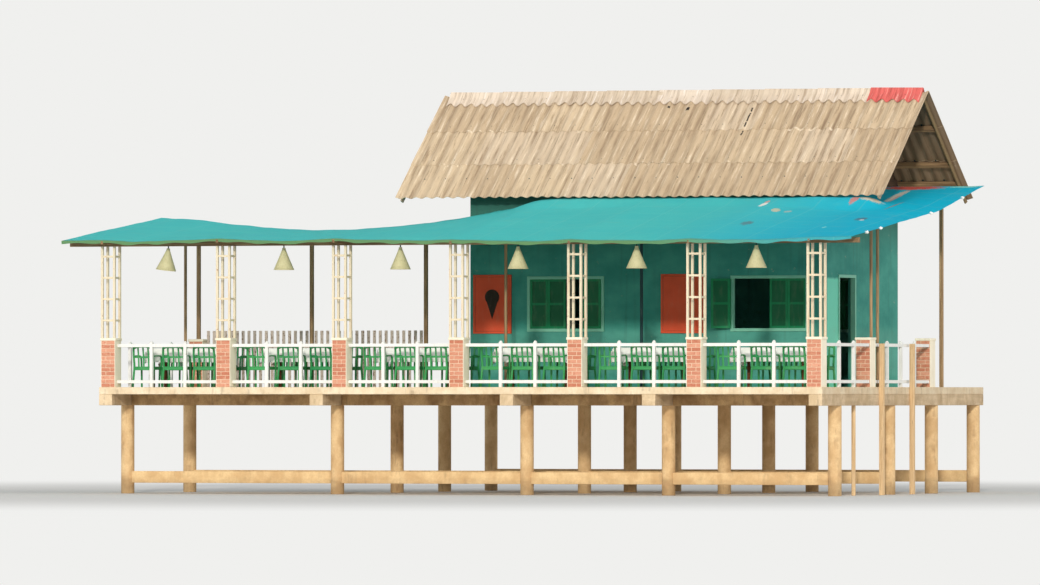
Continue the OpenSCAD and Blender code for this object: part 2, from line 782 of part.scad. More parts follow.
// The first window's third leaf lies folded over its fourth. The second window's left pair of leaves stands
// open, hinged on the window's left edge.
module window_leaves() color("darkgreen") placed() {
  closed_leaves(house_x0 + window_at[0], house_back, [0:1]);
  leaf_place(house_x0 + window_at[0], house_back - leaf_t - leaf_gap, 3) folded_pair(0);
  closed_leaves(house_x0 + window_at[1], house_back, [2:3]);
  translate([house_x0 + window_at[1] - window_w / 2, house_back - frame_out, deck + sill_h + frame_w])
    opened_leaves();
  for (a = window_at) closed_leaves(house_x0 + a, house_y1 - leaf_t, [0:3]);
}

// Red panels on the front wall, the left one with a plain leaf-shaped plaque
panel_z = deck + sill_h - (panel_h - window_h) / 2;

panel_x = [house_x0 + panel_1_in,
           house_x0 + window_at[1] - window_w / 2 - panel_2_out - panel_2_w];
panel_front = house_back - panel_t;

module red_panel(x, w)
  difference() {
    block([x, x + w], [panel_front, house_back], [panel_z, panel_z + panel_h]);
    block([x + panel_border, x + w - panel_border], [panel_front - 1, panel_front + panel_sunk],
          [panel_z + panel_border, panel_z + panel_h - panel_border]);
  }

module red_panels() color("firebrick") placed() {
  red_panel(panel_x[0], panel_1_w);
  red_panel(panel_x[1], panel_2_w);
}

plaque_r = 150;
plaque_tip = 430;
plaque_t = 14;

module leaf_plaque() color("darkslategray") placed()
  translate([panel_x[0] + panel_1_w / 2, panel_front + panel_sunk, panel_z + panel_h * 0.62])
    rotate([90, 0, 0])
      union() {
        cylinder(r = plaque_r, h = plaque_t);
        linear_extrude(plaque_t)
          polygon([[0, 0], [0.8 * plaque_r, -plaque_r / 2], [0, -plaque_tip], [-0.8 * plaque_r, -plaque_r / 2]]);
      }

// Roof: bands under the roof's upper face, given by how far below it they lie
module slope_band(x, y0, y1, top, bottom)
  along_x(x, [[y0, roof_z(y0) - top], [y1, roof_z(y1) - top], [y1, roof_z(y1) - bottom],
              [y0, roof_z(y0) - bottom]]);

// Corrugated sheets lie in courses from the eave to the ridge, each with its head on a purlin and its foot on
// the head of the course below. So a course lies a little flatter than the roof, by one step in its length.
courses = 3;
lap_gap = 1;
ridge_gap = 12;
waves = round((verge_x1 - verge_x0) / wave_w);
wave = (verge_x1 - verge_x0) / waves;
sheet_depth = sheets_t * cos(roof_angle);
wave_rise = sheet_depth - ply_t;
foot_y = eave_y + sheet_depth * sin(roof_angle);
course_d = (ridge_y - foot_y) / courses;
lap_step = (ply_t + lap_gap) / cos(roof_angle);
sheet_angle = atan(roof_slope - lap_step / course_d);

// Height of course k's underside, in the bottoms of its waves, on the front slope
function sheet_under(k, y) = roof_z(y) - sheets_t + lap_step * (1 + k - (y - foot_y) / course_d);

// The wavy line of a sheet: a wave has six equal parts, with a flat at its crest and one at its bottom.
wave_line = concat(
  [[0, 0]],
  [for (i = [0:waves - 1], p = [[1, 0], [5, 1], [7, 1], [11, 0]]) [(i + p[0] / 12) * wave, p[1] * wave_rise]],
  [[waves * wave, 0]]);

sheet_outline = concat(wave_line,
  [for (i = [len(wave_line) - 1:-1:0]) [wave_line[i][0], wave_line[i][1] + ply_t]]);

// One course of the front slope: the outline across the sheets, drawn out from head to foot
module sheet_course(k) {
  y0 = foot_y + k * course_d;
  y1 = k == courses - 1 ? ridge_y - ridge_gap : y0 + course_d + sheet_lap;
  translate([verge_x0, y1, sheet_under(k, y1)])
    rotate([90 + sheet_angle, 0, 0])
      linear_extrude((y1 - y0) / cos(sheet_angle)) polygon(sheet_outline);
}

module roof_front() color("darkgray") placed()
  for (k = [0:courses - 1]) sheet_course(k);

module roof_rear() color("darkgray") placed()
  translate([0, 2 * ridge_y, 0]) mirror([0, 1, 0])
    for (k = [0:courses - 1]) sheet_course(k);

// A bent board over the ridge
module ridge_form(x, reach, top, bottom)
  along_x(x, [
    [ridge_y - reach, roof_z(ridge_y - reach) - top], [ridge_y, roof_z(ridge_y) - top],
    [ridge_y + reach, roof_z(ridge_y + reach) - top], [ridge_y + reach, roof_z(ridge_y + reach) - bottom],
    [ridge_y, roof_z(ridge_y) - bottom], [ridge_y - reach, roof_z(ridge_y - reach) - bottom]
  ]);

// Height of the wave crests near the ridge, at r from it; the wings of the caps lie on them
function crest_z(r) = sheet_under(courses - 1, ridge_y - r) + sheet_depth / cos(sheet_angle);

// A ridge cap in cross-section: two wings and a hollow roll; over makes it larger outside, for a collar.
module cap_outline(over) {
  t = ridge_cap_t + over;
  under = [for (r = [-cap_wing, 0, cap_wing]) [ridge_y + r, crest_z(abs(r))]];
  difference() {
    union() {
      polygon(concat(under, [for (i = [2:-1:0]) under[i] + [0, t]]));
      translate([ridge_y, crest_z(0)]) circle(d = cap_roll_d + 2 * over);
    }
    translate([ridge_y, crest_z(0)]) circle(d = cap_roll_d - 2 * ridge_cap_t);
    polygon(concat(under, [for (i = [2:-1:0]) under[i] - [0, cap_roll_d]]));
  }
}

module cap_run(x, over)
  translate([x[0], 0, 0]) rotate([90, 0, 90]) linear_extrude(x[1] - x[0]) cap_outline(over);

red_caps_x = verge_x1 - red_caps_l;
caps = round((red_caps_x - verge_x0) / cap_l);
collar_over = 8;

module ridge_caps() color("gainsboro") placed() {
  cap_run([verge_x0, red_caps_x], 0);
  for (i = [1:caps - 1])
    let (x = verge_x0 + i * (red_caps_x - verge_x0) / caps) cap_run([x, x + cap_lap], collar_over);
}

module red_ridge_caps() color("indianred") placed() {
  cap_run([red_caps_x, verge_x1], 0);
  cap_run([red_caps_x, red_caps_x + cap_lap], collar_over);
}

// The barge boards keep just clear of the sheets and are nailed to the ends of the purlins.
module barge_boards() color("gray") placed() {
  reach = ridge_y - eave_y;
  top = sheets_t + 3;
  ridge_form([verge_x0, verge_x0 + barge_t], reach, top, top + barge_h);
  ridge_form([verge_x1 - barge_t, verge_x1], reach, top, top + barge_h);
}

// Purlins as [y, course that rests on them]: one outside the wall, one under each lap and one near the ridge
purlin_edge = 40;
purlin_lines = concat(
  [[house_back - purlin_edge, 0]],
  [for (k = [0:courses - 2]) [foot_y + (k + 1) * course_d + sheet_lap / 2, k]],
  [[ridge_y - 3 * purlin_edge, courses - 1]]);

module purlin(y, k) {
  ys = [y - purlin_w / 2, y + purlin_w / 2];
  low = sheets_t + purlin_h;
  along_x([verge_x0 + barge_t, verge_x1 - barge_t], [
    [ys[0], sheet_under(k, ys[0])], [ys[1], sheet_under(k, ys[1])],
    [ys[1], roof_z(ys[1]) - low], [ys[0], roof_z(ys[0]) - low]
  ]);
}

module purlins() color("peru") placed()
  for (p = purlin_lines) {
    purlin(p[0], p[1]);
    translate([0, 2 * ridge_y, 0]) mirror([0, 1, 0]) purlin(p[0], p[1]);
  }

rafters = 7;
rafter_inset = 120;

module roof_rafter(x, y0, y1, wall_y)
  difference() {
    slope_band([x - rafter_w / 2, x + rafter_w / 2], y0, y1,
               sheets_t + purlin_h, sheets_t + purlin_h + rafter_h);
    block([x - rafter_w, x + rafter_w], [wall_y, wall_y + wall_t], [deck, deck + wall_h]);
  }

module rafter_row(y0, y1, wall_y)
  for (k = [0:rafters - 1])
    roof_rafter(house_x0 + rafter_inset + k * (house_w - 2 * rafter_inset) / (rafters - 1), y0, y1, wall_y);

module roof_rafters() color("peru") placed() {
  rafter_row(house_back - rafter_tail, ridge_y, house_back);
  rafter_row(ridge_y, house_y1 + rafter_tail, house_y1 - wall_t);
}

// Terrace furniture
module tables() color("sienna") placed()
  for (i = [0:bays - 1])
    translate([pier_x(i) + bay_w / 2 - table_l / 2, table_back, deck]) {
      translate([0, 0, table_h - table_t]) cube([table_l, table_w, table_t]);
      for (x = [leg_inset, table_l - leg_inset - table_leg], y = [leg_inset, table_w - leg_inset - table_leg])
        translate([x, y, 0]) cube([table_leg, table_leg, table_h - table_t]);
    }

module tablecloths() color("white") placed()
  for (i = [0:bays - 1])
    translate([pier_x(i) + bay_w / 2 - table_l / 2, table_back, deck + table_h - cloth_h])
      difference() {
        translate([-cloth_t, -cloth_t, 0])
          cube([table_l + 2 * cloth_t, table_w + 2 * cloth_t, cloth_h + cloth_t]);
        translate([0, 0, -1]) cube([table_l, table_w, cloth_h + 1]);
      }

// A moulded armchair that faces +Y, its middle on x = 0 and the rearmost line of its back on y = 0
chair_post_h = chair_h - 30;
back_angle = atan(chair_lean / (chair_h - seat_h));

// The rear and front faces of a back post at height z
function post_rear(z) = chair_lean * (chair_h - z) / (chair_h - seat_h);
function post_front(z) = post_rear(z) + chair_bar;

// One side: splayed legs, seat rail, arm and leaning back post, cut from one outline
module chair_side(x) {
  b = chair_bar;
  rail = seat_h - 1.5 * b;
  difference() {
    along_x([x, x + b], [
      [0, 0], [b, 0], [chair_lean + b, rail], [chair_d - 1.5 * b, rail], [chair_d - b, 0], [chair_d, 0],
      [chair_d - b / 3, arm_h - b / 3], [chair_d - b, arm_h], [post_front(arm_h), arm_h],
      [post_front(chair_post_h), chair_post_h], [post_rear(chair_post_h), chair_post_h], [chair_lean, seat_h]
    ]);
    along_x([x - 1, x + b + 1], [
      [post_front(seat_h), seat_h], [chair_d - 1.3 * b, seat_h],
      [chair_d - 1.3 * b, arm_h - b * 2 / 3], [post_front(arm_h - b * 2 / 3), arm_h - b * 2 / 3]
    ]);
  }
}

// The seat dips in the middle and rolls down at its front edge; its rear edge lies inside the back.
module chair_seat() {
  y0 = chair_lean + chair_back_t / 2;
  along_x([chair_bar / 2, chair_w - chair_bar / 2], [
    [y0, seat_h - seat_t], [chair_d - 2 * seat_t, seat_h - seat_t],
    [chair_d - seat_t, seat_h - 2 * seat_t], [chair_d, seat_h - 2 * seat_t],
    [chair_d - seat_t / 2, seat_h], [chair_d / 2, seat_h - seat_t / 3], [y0, seat_h]
  ]);
}

// The back: a leaning panel set in between the posts, with an arched top edge and slots that leave three slats
module chair_back() {
  w = chair_w - chair_bar;
  foot = seat_h - seat_t;
  h = (chair_h - foot) / cos(back_angle);
  slots = 4;
  slat = 34;
  slot_w = (w - chair_bar - (slots - 1) * slat) / slots;
  translate([chair_bar / 2, post_rear(foot) + chair_bar / 6, foot])
    rotate([90 + back_angle, 0, 0])
      translate([0, 0, -chair_back_t])
        difference() {
          linear_extrude(chair_back_t)
            polygon([[0, 0], [w, 0], [w, h - 20], [w * 0.8, h], [w * 0.2, h], [0, h - 20]]);
          for (k = [0:slots - 1])
            translate([chair_bar / 2 + k * (slot_w + slat), seat_t + 50, -1])
              cube([slot_w, h - seat_t - 50 - 75, chair_back_t + 2]);
        }
}

module chair()
  translate([-chair_w / 2, 0, 0]) {
    chair_side(0);
    chair_side(chair_w - chair_bar);
    chair_seat();
    chair_back();
  }

module chair_row(y, turn)
  for (i = [0:bays - 1], k = [-1:1])
    translate([pier_x(i) + bay_w / 2 + k * chair_pitch, y, deck]) rotate([0, 0, turn]) chair();

module chairs() color("seagreen") placed() {
  chair_row(table_back - chair_gap - chair_d, 0);
  chair_row(table_back + table_w + chair_gap + chair_d, 180);
}

front_stilts();
rear_stilts();
tie_beams();
cross_beams();
long_beams();
terrace_slab();
house_slab();
brick_piers();
pier_caps();
lattice_columns();
front_railing();
side_railings();
picket_fence();
timber_posts();
canopy_front_beam();
canopy_rear_rail();
canopy_rafters();
canopy_posts();
dark_post();
canopy_sheet();
canopy_wing();
lamp_shades();
lamp_stems();
front_wall();
rear_wall();
left_wall();
right_wall_front();
right_wall_rear();
right_wall_head();
gable_boards();
door_frame();
window_frames();
window_leaves();
red_panels();
leaf_plaque();
roof_front();
roof_rear();
ridge_caps();
red_ridge_caps();
barge_boards();
purlins();
roof_rafters();
tables();
tablecloths();
chairs();
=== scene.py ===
# %% [markdown]
# # A riverside stilt house, finished in Blender
# The real object is a terrace restaurant on round concrete stilts. Its railed terrace lies under a turquoise
# sheet on lattice columns, and a room with a corrugated roof stands behind it. The CAD model already holds
# its sizes. This lesson adds what a CAD model leaves out: the waves of the roof sheets, the bricks, the folds
# of the cloth, and the paint, rust and stains of each surface.

# %% Load the frame
import math

import bmesh
import bpy
from mathutils import Matrix, Vector, noise
from mathutils.bvhtree import BVHTree


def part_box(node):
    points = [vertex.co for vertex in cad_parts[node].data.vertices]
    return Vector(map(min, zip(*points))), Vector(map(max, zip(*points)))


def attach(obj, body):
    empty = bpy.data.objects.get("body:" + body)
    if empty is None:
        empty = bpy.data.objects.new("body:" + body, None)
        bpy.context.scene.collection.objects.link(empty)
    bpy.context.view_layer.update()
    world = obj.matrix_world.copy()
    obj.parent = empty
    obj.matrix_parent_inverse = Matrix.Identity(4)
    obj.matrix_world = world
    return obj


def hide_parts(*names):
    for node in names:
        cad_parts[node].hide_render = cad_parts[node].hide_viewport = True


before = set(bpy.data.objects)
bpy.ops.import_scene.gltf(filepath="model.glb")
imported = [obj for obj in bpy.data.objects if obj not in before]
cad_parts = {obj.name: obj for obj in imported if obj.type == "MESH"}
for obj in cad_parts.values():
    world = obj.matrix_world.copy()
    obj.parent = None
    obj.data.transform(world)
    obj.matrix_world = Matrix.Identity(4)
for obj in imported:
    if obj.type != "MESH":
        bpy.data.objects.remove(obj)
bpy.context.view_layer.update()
scene = bpy.context.scene
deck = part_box("terrace_slab")[1].z
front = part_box("brick_piers")[0].y
print(len(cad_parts), "CAD nodes; the terrace is", round(deck, 3), "m up, its piers' fronts at y", round(front, 3))

# %% [markdown]
# ## Sums on sockets
# A node tree is a sum that is drawn as boxes. It reads better as Python, so a small class stands for one
# output of a node, and its operators add Math nodes. The class works in shader trees and in Geometry Nodes,
# because both take the same Math node.


# %% A value in a node tree
class Value:
    """One output of a node. Sums on it add Math nodes to its tree."""

    def __init__(self, tree, socket):
        self.tree, self.socket = tree, socket

    def __rsub__(self, other):
        return self.tree.math("SUBTRACT", other, self)


OPERATIONS = {"__add__": "ADD", "__radd__": "ADD", "__sub__": "SUBTRACT", "__mul__": "MULTIPLY",
              "__rmul__": "MULTIPLY", "__truediv__": "DIVIDE", "__mod__": "FLOORED_MODULO", "floor": "FLOOR",
              "sin": "SINE", "abs": "ABSOLUTE", "most": "MAXIMUM"}
for method, operation in OPERATIONS.items():
    setattr(Value, method, lambda *parts, kind=operation: parts[0].tree.math(kind, *parts))


def pick(sockets, key):
    """The socket at a number, or the first one in use that has that name or identifier."""
    if isinstance(key, int):
        return sockets[key]
    return next(s for s in sockets if s.enabled and key in (s.name, s.identifier))


class Tree:
    """A node tree, with one method that adds any node."""

    def __init__(self, tree):
        self.tree = tree

    def fill(self, made, sockets):
        """Sets a node's inputs: a Value is linked, anything else is the socket's own value."""
        for key, value in sockets.items():
            socket = pick(made.inputs, key)
            for part in value if isinstance(value, list) else [value]:
                if isinstance(part, Value):
                    self.tree.links.new(part.socket, socket)
                else:
                    socket.default_value = part

    def node(self, kind, sockets=None, out=0, **settings):
        """Adds a node and returns one of its outputs."""
        made = self.tree.nodes.new(kind)
        for name, value in settings.items():
            setattr(made, name, value)
        self.fill(made, sockets or {})
        return Value(self, pick(made.outputs, out)) if len(made.outputs) else None

    def other(self, value, name):
        """Another output of the node that gave this value."""
        return Value(self, pick(value.socket.node.outputs, name))

    def math(self, operation, *parts):
        """A Math node on these values or numbers."""
        return self.node("ShaderNodeMath", dict(enumerate(parts)), operation=operation)

    def vector(self, operation, first, second=(0.0, 0.0, 0.0)):
        """Vector Math on two vectors, or on a vector and a number when the operation is SCALE."""
        second_key = "Scale" if operation == "SCALE" else 1
        return self.node("ShaderNodeVectorMath", {0: first, second_key: second}, operation=operation)

    def split(self, vector):
        """The x, y and z of a vector."""
        x = self.node("ShaderNodeSeparateXYZ", {0: vector}, "X")
        return x, self.other(x, "Y"), self.other(x, "Z")

    def rise(self, value, low, high):
        """0 below low and 1 above high, with a soft step between."""
        return self.node("ShaderNodeMapRange", {"Value": value, "From Min": low, "From Max": high},
                         interpolation_type="SMOOTHSTEP")


def cleared(owner):
    """The node tree of a material or a world, emptied."""
    owner.use_nodes = True
    owner.node_tree.nodes.clear()
    return owner.node_tree


print("values take + - * / % and", ", ".join(name for name in OPERATIONS if "_" not in name))

# %% [markdown]
# ## One way to write a finish
# Every material here is one Principled surface. What differs is its colour, how rough it is and its relief,
# and each is a mix of masks: clouds of noise at a stated size, streaks, bands by height. The helpers below
# name those masks, with sizes in metres, so that a finish reads like a recipe.


# %% A finish
def paint(red, green, blue):
    """A colour as a screen shows it, 0 to 255, turned into the linear numbers that Blender's sockets take."""
    parts = [c / 255 for c in (red, green, blue)]
    return (*[c / 12.92 if c <= 0.04045 else ((c + 0.055) / 1.055) ** 2.4 for c in parts], 1.0)


def stretched(across, along, axis):
    """Three sizes in metres: one along the axis, and the other across it."""
    return tuple(along if name == axis else across for name in "XYZ")


class Finish(Tree):
    """A material with one Principled surface and the masks that vary it."""

    def __init__(self, name, **fixed):
        self.material = bpy.data.materials.new(name)
        super().__init__(cleared(self.material))
        self.surface = self.node("ShaderNodeBsdfPrincipled", fixed)
        self.node("ShaderNodeOutputMaterial", {"Surface": self.surface})
        self.place = self.node("ShaderNodeTexCoord", out="Object")
        self.x, self.y, self.z = self.split(self.place)

    def scaled(self, size, on=None):
        """The place on the piece, in units of one size in metres or of three."""
        sizes = size if isinstance(size, tuple) else (size,) * 3
        return self.node("ShaderNodeMapping", {"Vector": on or self.place, "Scale": tuple(1 / s for s in sizes)},
                         vector_type="POINT")

    def clouds(self, size, detail=4, rough=0.55, twist=0.0, on=None):
        """Noise from 0 to 1, with patches of that size in metres, or of three sizes along X, Y and Z."""
        return self.node("ShaderNodeTexNoise", {"Vector": self.scaled(size, on), "Scale": 1.0, "Detail": detail,
                                                "Roughness": rough, "Distortion": twist})

    def band(self, value, low, high, soft):
        """1 between low and high and 0 outside, with soft edges."""
        return self.rise(value, low - soft, low + soft) * (1 - self.rise(value, high - soft, high + soft))

    def mix(self, mask, first, second):
        """The first colour where the mask is 0 and the second where it is 1."""
        return self.node("ShaderNodeMix", {"Factor": mask, "A": first, "B": second}, "Result", data_type="RGBA")

    def shade(self, colour, amount):
        """A colour times a number: worked out here when the colour is a fixed one."""
        if isinstance(colour, Value):
            return self.vector("SCALE", colour, amount)
        return (*[c * amount for c in colour[:3]], 1.0)

    def attribute(self, name):
        return self.node("ShaderNodeAttribute", out="Fac", attribute_name=name)

    def on_cloth(self):
        """How far along and across its cloth a point lies, in metres."""
        return self.split(self.node("ShaderNodeUVMap", uv_map="metres"))[:2]

    def feed(self, colour, roughness, relief, depth=0.001):
        """Links the masks to the surface: depth is how far the relief stands out, in metres."""
        bump = self.node("ShaderNodeBump", {"Strength": 1.0, "Distance": depth, "Height": relief})
        self.fill(self.surface.socket.node, {"Base Color": colour, "Roughness": roughness, "Normal": bump})
        return self.material


print("a finish has masks in metres, on the place in the row frame")

# %% [markdown]
# ## Camera
# The photograph was taken from across the water with a long lens, a little to the right of the middle and
# about two metres above the stilts' feet. Such a picture has almost no perspective. So the camera stands 200
# metres off, 22 degrees to the right, and is turned slightly up and left of that line until the house sits
# in the frame.

# %% Camera
def added(name, data):
    """A new object of the scene, at the origin."""
    made = bpy.data.objects.new(name, data)
    scene.collection.objects.link(made)
    return made


def aim(piece, way):
    """Turns a camera or a lamp to look along a direction."""
    piece.rotation_mode = "QUATERNION"
    piece.rotation_quaternion = way.to_track_quat("-Z", "Y")


SIDE, DISTANCE, EYE_HEIGHT = math.radians(22), 200, 1.99
AIM_FORWARD, AIM_RIGHT, AIM_UP = 4400, 27, 42
right = Vector((math.cos(SIDE), math.sin(SIDE), 0))
forward = Vector((-math.sin(SIDE), math.cos(SIDE), 0))
lens_data = bpy.data.cameras.new("camera")
lens_data.sensor_width, lens_data.lens, lens_data.clip_end = 36.0, 360.0, 2000.0
camera = added("camera", lens_data)
camera.location = Vector((0, front, EYE_HEIGHT)) - forward * DISTANCE
aim(camera, forward * AIM_FORWARD + right * AIM_RIGHT + Vector((0, 0, AIM_UP)))
scene.camera = camera
print("camera at", [round(c, 2) for c in camera.location], "with a", lens_data.lens, "mm lens")

# %% [markdown]
# ## Light and floor
# In the photograph the sun stands low on the right: it reaches under the canopy to the lower wall, under the
# slab to the stilts and under the roof's rear slope. The key lamp does the same here. Two wide, weak lamps and an
# even sky fill the rest, so that a painted colour renders about as it is written. What the camera sees behind
# the house is pale: the world is a light grey to camera, mirror and glass rays, and plain sky to the others. The
# floor is a wide disc that turns into the same pale grey further out, so no edge shows.

# %% Light and floor
PALE = paint(240, 240, 238)
FLOOR_RADIUS, FADE_FROM, FADE_TO = 150, 13.0, 34.0
scene.view_settings.view_transform = "Standard"
scene.world = bpy.data.worlds.new("sky")
sky = Tree(cleared(scene.world))
rays = sky.node("ShaderNodeLightPath", out="Is Camera Ray")
seen = rays.most(sky.other(rays, "Is Glossy Ray")).most(sky.other(rays, "Is Transmission Ray"))
plain = sky.node("ShaderNodeBackground", {"Color": (0.95, 0.97, 1.0, 1.0), "Strength": 0.44})
backdrop = sky.node("ShaderNodeBackground", {"Color": PALE, "Strength": 1.0})
sky.node("ShaderNodeOutputWorld", {"Surface": sky.node("ShaderNodeMixShader", {0: seen, 1: plain, 2: backdrop})})


def lamp_from(name, side, up, energy, wide, colour):
    """A far lamp: side is how far right of the front it stands and up how high, both in degrees."""
    data = bpy.data.lights.new(name, "SUN")
    data.energy, data.angle, data.color = energy, math.radians(wide), colour
    a, h = math.radians(side), math.radians(up)
    aim(added(name, data), Vector((-math.sin(a) * math.cos(h), math.cos(a) * math.cos(h), -math.sin(h))))
    print(f"{name}: {side} degrees to the right, {up} up")


lamp_from("key", 18, 16, 1.55, 3, (1.0, 0.95, 0.86))
lamp_from("fill", -14, 16, 0.95, 50, (1.0, 0.98, 0.95))
lamp_from("side", 82, 24, 1.0, 60, (1.0, 0.97, 0.92))


def built(name, work):
    """An object with a bmesh's faces."""
    piece = added(name, bpy.data.meshes.new(name))
    work.to_mesh(piece.data)
    work.free()
    return piece


disc = bmesh.new()
bmesh.ops.create_circle(disc, cap_ends=True, radius=FLOOR_RADIUS, segments=128)
floor = built("floor", disc)
floor_material = bpy.data.materials.new("pale_floor")
ground = Tree(cleared(floor_material))
place = ground.node("ShaderNodeTexCoord", out="Object")
reach = ground.node("ShaderNodeVectorMath", {0: place}, "Value", operation="LENGTH")
matt = ground.node("ShaderNodeBsdfDiffuse", {"Color": paint(228, 228, 226)})
glow = ground.node("ShaderNodeEmission", {"Color": PALE, "Strength": 1.0})
both = ground.node("ShaderNodeMixShader", {0: ground.rise(reach, FADE_FROM, FADE_TO), 1: matt, 2: glow})
ground.node("ShaderNodeOutputMaterial", {"Surface": both})
floor.data.materials.append(floor_material)
print("a low key lamp, two wide ones, a pale sky and a floor without an edge")

# %% [markdown]
# ## Concrete
# The stilts and beams are cast by hand: tan, cloudy, darker where water runs down, and muddy near the feet.
# The same recipe serves pale and dark members with other tones, so it is a function; the long beams' dark tones
# are their stains deepened as painted shade under the slab. Drips are tall and narrow, because stains run down,
# and slabs and beam ends are darker on the faces that look to the right.


# %% Concrete
def concrete_finish(name, pale, dark, runs_tone, runs, mud=0.0, side=0.0):
    """Concrete with so much of drips (runs), of mud near the feet and of darkening on faces that look along +X."""
    f = Finish(name)
    patches = f.rise(f.clouds((0.34, 0.34, 0.42), 7, 0.62), 0.32, 0.68)
    grit = f.clouds(0.03, 5)
    drips = f.rise(f.clouds((0.12, 0.12, 0.7), 6, 0.62), 0.5, 0.74)
    drips = drips * f.rise(f.clouds((0.35, 0.35, 0.16)), 0.38, 0.58)
    pits = 1 - f.rise(f.node("ShaderNodeTexVoronoi", {"Vector": f.scaled(0.045), "Scale": 1.0}), 0.05, 0.22)
    colour = f.mix(patches, dark, pale)
    colour = f.mix(drips * runs, colour, runs_tone)
    colour = f.mix(f.rise(grit, 0.35, 0.7) * 0.3, colour, dark)
    if mud:
        wet = 1 - f.rise(f.z + f.clouds((0.3, 0.3, 0.12)) * 0.3, 0.25, 0.55)
        colour = f.mix(wet * mud, colour, paint(124, 98, 66))
    # faces that look along +X are made darker
    if side:
        facing = f.split(f.node("ShaderNodeNewGeometry", out="Normal"))[0]
        layers = f.rise(f.clouds((0.7, 0.7, 0.1), 5), 0.35, 0.6)
        colour = f.mix(f.rise(facing, 0.5, 0.8) * (layers * 0.4 + 0.6) * side, colour, runs_tone)
    rough = 0.82 + grit * 0.12 - drips * 0.12
    return f.feed(colour, rough, relief=grit + patches * 0.4 - pits * 0.9, depth=0.004)


stilt_concrete = concrete_finish("stilt_concrete", paint(238, 206, 156), paint(206, 168, 120), paint(150, 112, 76),
                                 runs=0.68, mud=0.55)
# painted shade: the long beams under the slab get darker tones than the stilts, over their stains
beam_concrete = concrete_finish("beam_concrete", paint(206, 172, 124), paint(150, 116, 76), paint(96, 72, 46),
                                runs=0.75)
tie_concrete = concrete_finish("tie_concrete", paint(240, 208, 156), paint(212, 174, 124), paint(150, 118, 82),
                               runs=0.5, mud=0.35)
slab_concrete = concrete_finish("slab_concrete", paint(242, 226, 196), paint(222, 198, 162), paint(140, 116, 88),
                                runs=0.58, side=0.24)
end_concrete = concrete_finish("end_concrete", paint(240, 216, 180), paint(204, 178, 140), paint(128, 102, 74),
                               runs=0.58, side=0.42)
print("five tones of concrete")

# %% [markdown]
# ## Painted brick and lime plaster
# The piers are brick, painted pink long ago: each brick keeps a tint of its own, worn back to redder clay on
# its edges, and the joints are pale. Their side faces and caps are cream plaster, grey where rain has run.

# %% Painted brick and lime plaster
brick = Finish("painted_brick")
tint = brick.attribute("tint")
soft = brick.clouds((0.11, 0.11, 0.06), 5)
fine = brick.clouds(0.012, 3)
worn = brick.rise(brick.clouds((0.06, 0.06, 0.03), 5), 0.52, 0.7)
clay = brick.mix(tint, paint(194, 120, 92), paint(222, 160, 132))
clay = brick.mix(worn * 0.55, clay, paint(176, 86, 58))
clay = brick.mix(brick.rise(soft, 0.55, 0.8) * 0.5, clay, paint(232, 190, 154))
painted_brick = brick.feed(clay, 0.78 + fine * 0.15, relief=fine * 0.5 + soft, depth=0.004)

plaster = Finish("lime_plaster")
wash = plaster.clouds((0.5, 0.5, 0.35), 6)
grain = plaster.clouds(0.02)
runs = plaster.rise(plaster.clouds((0.05, 0.05, 0.7)), 0.5, 0.75)
cream = plaster.mix(wash, paint(252, 246, 226), paint(240, 228, 202))
cream = plaster.mix(runs * 0.25, cream, paint(184, 164, 136))
lime_plaster = plaster.feed(cream, 0.86 + grain * 0.1, relief=grain + wash, depth=0.003)

joint = Finish("mortar")
sand = joint.clouds(0.01)
mortar = joint.feed(joint.mix(sand, paint(214, 180, 150), paint(240, 214, 186)), 0.92, relief=sand, depth=0.003)
print("brick, plaster and mortar")

# %% [markdown]
# ## White paint
# Railings, pickets and lattice columns are white, and not clean: grey where hands and rain reach, chipped in
# spots, and on the steel columns the chips bleed rust downwards. Bare spots are a mask that changes colour,
# roughness and height together, so that a chip looks like a chip from any side. The pickets' white is greyer,
# as painted shade under the canopy.


# %% White paint
def white_paint(name, white, under, bleed, chips=0.66, rust_runs=0.0):
    """White paint: under shows where it is chipped, the less the higher chips is, and bleed runs down from it."""
    f = Finish(name)
    dirt = f.clouds((0.35, 0.35, 0.5), 6)
    fleck = f.clouds((0.035, 0.035, 0.06), 6, 0.65)
    bare = f.rise(fleck, chips, chips + 0.05)
    stain = f.rise(f.clouds((0.05, 0.05, 0.45)), 0.52, 0.78)
    brush = f.clouds((0.012, 0.012, 0.12), 2)
    colour = f.mix(f.rise(dirt, 0.35, 0.75) * 0.45, white, f.shade(white, 0.82))
    colour = f.mix(stain * rust_runs, colour, bleed)
    colour = f.mix(bare, colour, under)
    return f.feed(colour, 0.48 + dirt * 0.2 + bare * 0.3, relief=brush * 0.3 - bare * 1.0, depth=0.0012)


white_steel = white_paint("white_steel", paint(230, 217, 188), paint(150, 84, 46), paint(196, 140, 88),
                          chips=0.63, rust_runs=0.5)
white_wood = white_paint("white_wood", paint(236, 236, 232), paint(150, 132, 108), paint(190, 180, 160), rust_runs=0.3)
worn_white = white_paint("worn_white", paint(226, 222, 212), paint(140, 120, 96), paint(170, 156, 132), chips=0.5,
                         rust_runs=0.4)
# painted shade: the picket fence under the canopy gets a greyer white
fence_paint = white_paint("fence_paint", paint(196, 180, 168), paint(126, 106, 86), paint(150, 132, 112), chips=0.56,
                          rust_runs=0.4)
print("white paint on steel and on wood")

# %% [markdown]
# ## Timber
# Weathered bare timber is grey-brown, with grain along the piece. Object coordinates don't know which way a
# piece runs, so the recipe is told the axis: its noise is stretched 25 times along that axis. The rear barge
# board is darker than the front one, and its tone takes over just before the ridge.


# %% Timber
REAR_FROM = front + 6.64


